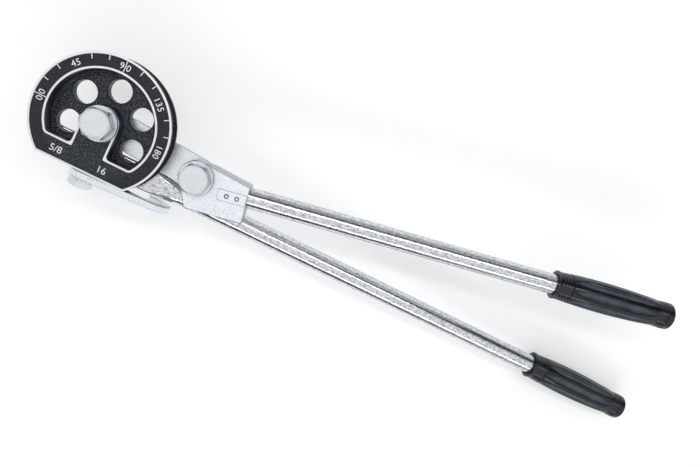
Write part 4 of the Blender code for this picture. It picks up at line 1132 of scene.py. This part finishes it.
class BENDER_OT_grips(bpy.types.Operator):
    """Build the two fluted grips"""
    bl_idname = "bender.grips"
    bl_label = "Grips"

    def execute(self, context):
        size = context.scene.bender_grip
        for body, handle, start in (("shoe", SHOE_HANDLE, SHOE_GRIP_START - BLOCK_END),
                                    ("form", FORM_HANDLE, FORM_GRIP_START)):
            grip = stand(body + "_fluted_grip", grip_mesh(size), body, "vinyl",
                         [body + "_grip"], handle @ moved(start, 0, 0), smooth=28)
            # The faces inside the flutes get the painted reflection
            paint_flute_reflection(grip, size.flute_depth)
        return {"FINISHED"}


# Tube hook
HOOK_REST_ANGLE = math.radians(-15.8)
HOOK_REACH = 58.65 * MM
HOOK_BOSS_RADIUS = 12.0 * MM
HOOK_THROAT_RADIUS = 8.75 * MM
HOOK_ARM_WIDTH = 8.75 * MM
HOOK_BAR_WIDTH = 12.5 * MM
HOOK_TIP_LENGTH = 1.6 * MM
HOOK_THICKNESS = 6.0 * MM
HOOK_ROUND = 0.7 * MM


def hook_outline():
    """The hook about its pivot, +X towards its throat and +Y towards its bar."""
    throat = (HOOK_REACH, 0)
    outer = HOOK_THROAT_RADIUS + HOOK_ARM_WIDTH
    slope = math.asin((outer - HOOK_BOSS_RADIUS) / HOOK_REACH)
    tangent = math.pi / 2 + slope
    bar_top = HOOK_BOSS_RADIUS / math.cos(slope)
    neck = HOOK_REACH / 2
    tip = HOOK_REACH - HOOK_TIP_LENGTH
    return rounded([
        *arc((0, 0), HOOK_BOSS_RADIUS, tangent, math.radians(320), 64),
        (HOOK_BOSS_RADIUS, bar_top - HOOK_BAR_WIDTH - HOOK_BOSS_RADIUS / 3, HOOK_BAR_WIDTH / 3),
        (neck, bar_top + neck * math.tan(slope) - HOOK_BAR_WIDTH, HOOK_BAR_WIDTH),
        (HOOK_REACH - HOOK_THROAT_RADIUS, HOOK_THROAT_RADIUS, HOOK_THROAT_RADIUS),
        *arc(throat, HOOK_THROAT_RADIUS, math.pi / 2, -math.pi / 2, 48),
        (tip, -HOOK_THROAT_RADIUS, HOOK_TIP_LENGTH), (tip, -outer, HOOK_TIP_LENGTH),
        *arc(throat, outer, -math.pi / 2, tangent, 72)])


class BENDER_OT_tube_hook(bpy.types.Operator):
    """Build the hook on the wheel's chord, with its bolt and washer"""
    bl_idname = "bender.tube_hook"
    bl_label = "Tube Hook"

    def execute(self, context):
        bore = HOOK_BOLT_RADIUS + CLEARANCE
        plate = slab([hook_outline(), circle((0, 0), bore, 64)], -HOOK_THICKNESS / 2,
                     HOOK_THICKNESS, HOOK_ROUND)
        # The hook's rounded edges take the darkest finish: a painted shade outline
        stand("hook_plate", plate, "hook", "plated", ["tube_hook"],
              HOOK_FRAME @ about("Z", HOOK_REST_ANGLE), edges="edge")
        low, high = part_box("hook_washer")
        thickness = high.y - low.y
        outward = moved(HOOK_AXIS.x, high.y, HOOK_AXIS.z) @ about("X", math.pi / 2)
        washer = ring_mesh((high.x - low.x) / 2, bore, 0, thickness, HOOK_WASHER_ROUND)
        stand("hook_flat_washer", washer, "form", "plated", ["hook_washer"], outward,
              edges="edge")
        head_bottom = thickness + CLEARANCE
        head_height = high.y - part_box("hook_bolt")[0].y - head_bottom
        head = head_mesh(HOOK_ACROSS_FLATS, head_bottom, head_height, math.pi / 6)
        # The washer's and the bolt head's rounded edges take darker finishes: painted shade
        stand("hook_bolt_head", head, "form", "steel", ["hook_bolt"], outward,
              edges="side")
        return {"FINISHED"}


# Stage
CAMERA_PLACE = Vector((0.153258, 0.071771, 0.558577))
CAMERA_RIGHT = Vector((0.8864208, 0.4571556, 0.0725735))
CAMERA_UP = Vector((-0.4408684, 0.8816005, -0.1685692))
CAMERA_BACK = Vector((-0.1410432, 0.1174279, 0.9830145))
FLOOR_GAP = 0.5 * MM
FLOOR_RADIUS = 6.0
FLOOR_GLOW = 0.3
WHITE = (1, 1, 1, 1)
TENT_TONES = ((0, "#22262e"), (0.05, "#444a54"), (0.1, "#d8dadc"), (0.3, "#f2f3f5"),
              (0.5, "#ffffff"), (0.68, "#e8eaec"), (0.76, "#8d939c"), (0.81, "#1c212c"),
              (0.86, "#3a404c"), (0.9, "#aeb2b6"), (1, "#c6c9ca"))
# Name, place from the tool's middle, length along X and width in metres, share of the power
LAMPS = (("key_strip", (-0.1, 0.5, 1.2), 1.5, 0.14, 0.45),
         ("fill_strip", (0.2, -1.05, 0.8), 1.6, 0.2, 0.4))


def seen_rays(tree):
    """Whether a ray is the camera's, and whether it is that, mirrored or let through."""
    path = add(tree, "LightPath")
    seen = camera = path.outputs["Is Camera Ray"]
    for ray in ("Is Glossy Ray", "Is Transmission Ray"):
        seen = add(tree, "Math", {}, {0: seen, 1: path.outputs[ray]}, operation="MAXIMUM")
    return camera, seen


def studio_floor(colour):
    """Matte white card: it goes to plain white for the eye and keeps the soft shadow."""
    made, tree, _ = start_finish("studio_floor", 0, 0.9, {"Base Color": (*colour, 1)})
    card = tree.nodes["Principled BSDF"]
    glow = add(tree, "Emission", {"Color": WHITE, "Strength": FLOOR_GLOW})
    bright = add(tree, "AddShader", {}, {0: card, 1: glow})
    mixed = add(tree, "MixShader", {}, {0: seen_rays(tree)[1], 1: card, 2: bright})
    tree.links.new(mixed.outputs[0], tree.nodes["Material Output"].inputs["Surface"])
    return made


class BENDER_OT_stage(bpy.types.Operator):
    """Set the floor, the light and the camera"""
    bl_idname = "bender.stage"
    bl_label = "Stage"

    def execute(self, context):
        scene = context.scene
        size = scene.bender_stage
        centre = (CAD_BOX[0] + CAD_BOX[1]) / 2
        shape = bmesh.new()
        bmesh.ops.create_circle(shape, cap_ends=True, segments=64, radius=FLOOR_RADIUS)
        mesh = bpy.data.meshes.new("floor")
        shape.to_mesh(mesh)
        shape.free()
        mesh.materials.append(studio_floor(size.floor))
        floor = bpy.data.objects.new("floor", mesh)
        floor.location = (centre.x, centre.y, CAD_BOX[0].z - FLOOR_GAP)
        scene.collection.objects.link(floor)
        self.world(scene, size.room_light)
        for name, offset, length, width, share in LAMPS:
            lamp = bpy.data.lights.new(name, "AREA")
            lamp.shape = "RECTANGLE"
            lamp.size = length
            lamp.size_y = width
            lamp.energy = size.key_light * share
            item = bpy.data.objects.new(name, lamp)
            item.location = centre + Vector(offset)
            item.rotation_euler = (-Vector(offset)).to_track_quat("-Z", "Y").to_euler()
            scene.collection.objects.link(item)

        camera = bpy.data.objects.new("camera", bpy.data.cameras.new("camera"))
        camera.data.lens = size.lens
        camera.data.clip_start = 10 * MM
        turn = Matrix((CAMERA_RIGHT, CAMERA_UP, CAMERA_BACK)).transposed().to_4x4()
        camera.matrix_world = moved(*CAMERA_PLACE) @ turn
        scene.collection.objects.link(camera)
        scene.camera = camera
        scene.view_settings.view_transform = "Standard"
        return {"FINISHED"}

    def world(self, scene, strength):
        """White for the eye, even light for the shade, and a tent for what the metal mirrors."""
        scene.world = bpy.data.worlds.new("studio")
        scene.world.use_nodes = True
        tree = scene.world.node_tree
        room = tree.nodes["Background"]
        room.inputs["Color"].default_value = WHITE
        room.inputs["Strength"].default_value = strength
        camera, seen = seen_rays(tree)
        # What metal mirrors: a white tent with two dark seams along X, the nearer one low down
        way = add(tree, "TexCoord").outputs["Generated"]
        split = add(tree, "SeparateXYZ", {}, {0: way})
        across = add(tree, "MapRange", {"From Min": -1, "From Max": 1},
                     {"Value": split.outputs["Y"]})
        tent = add(tree, "ValToRGB", {}, {"Fac": across})
        for at, _ in TENT_TONES[2:]:
            tent.color_ramp.elements.new(at)
        for stop, (at, tone) in zip(tent.color_ramp.elements, TENT_TONES):
            stop.position = at
            stop.color = linear(tone)
        mirrored = add(tree, "Background", {"Strength": 1}, {"Color": tent})
        mixed = add(tree, "MixShader", {}, {0: seen, 1: room, 2: mirrored})
        white = add(tree, "Background", {"Color": WHITE, "Strength": 1})
        mixed = add(tree, "MixShader", {}, {0: camera, 1: mixed, 2: white})
        tree.links.new(mixed.outputs[0], tree.nodes["World Output"].inputs["Surface"])


STEPS = (BENDER_OT_form_wheel, BENDER_OT_main_pivots, BENDER_OT_link, BENDER_OT_shoe_block,
         BENDER_OT_handle_tubes, BENDER_OT_grips, BENDER_OT_tube_hook, BENDER_OT_stage)
SETTINGS = {"bender_wheel": WheelSettings, "bender_grip": GripSettings,
            "bender_metal": MetalSettings, "bender_stage": StageSettings}


class BENDER_PT_panel(bpy.types.Panel):
    """Buttons and settings of the lever tube bender"""
    bl_idname = "BENDER_PT_panel"
    bl_label = "Tube Bender"
    bl_space_type = "VIEW_3D"
    bl_region_type = "UI"
    bl_category = "Tube Bender"

    def draw(self, context):
        for step in STEPS:
            self.layout.operator(step.bl_idname)
        for group in SETTINGS:
            box = self.layout.box()
            box.label(text=SETTINGS[group].__doc__)
            settings = getattr(context.scene, group)
            for name in SETTINGS[group].__annotations__:
                box.prop(settings, name)


def register():
    for item in (*SETTINGS.values(), *STEPS, BENDER_PT_panel):
        bpy.utils.register_class(item)
    for name, group in SETTINGS.items():
        setattr(bpy.types.Scene, name, PointerProperty(type=group))


def unregister():
    for name in SETTINGS:
        delattr(bpy.types.Scene, name)
    for item in reversed((*SETTINGS.values(), *STEPS, BENDER_PT_panel)):
        bpy.utils.unregister_class(item)


def main():
    register()
    for item in [item for item in bpy.data.objects
                 if item.type in ("CAMERA", "LIGHT") or item.name == "Cube"]:
        bpy.data.objects.remove(item, do_unlink=True)
    bpy.ops.bender.form_wheel()
    bpy.ops.bender.main_pivots()
    bpy.ops.bender.link()
    bpy.ops.bender.shoe_block()
    bpy.ops.bender.handle_tubes()
    bpy.ops.bender.grips()
    bpy.ops.bender.tube_hook()
    bpy.ops.bender.stage()


if __name__ == "__main__":
    main()
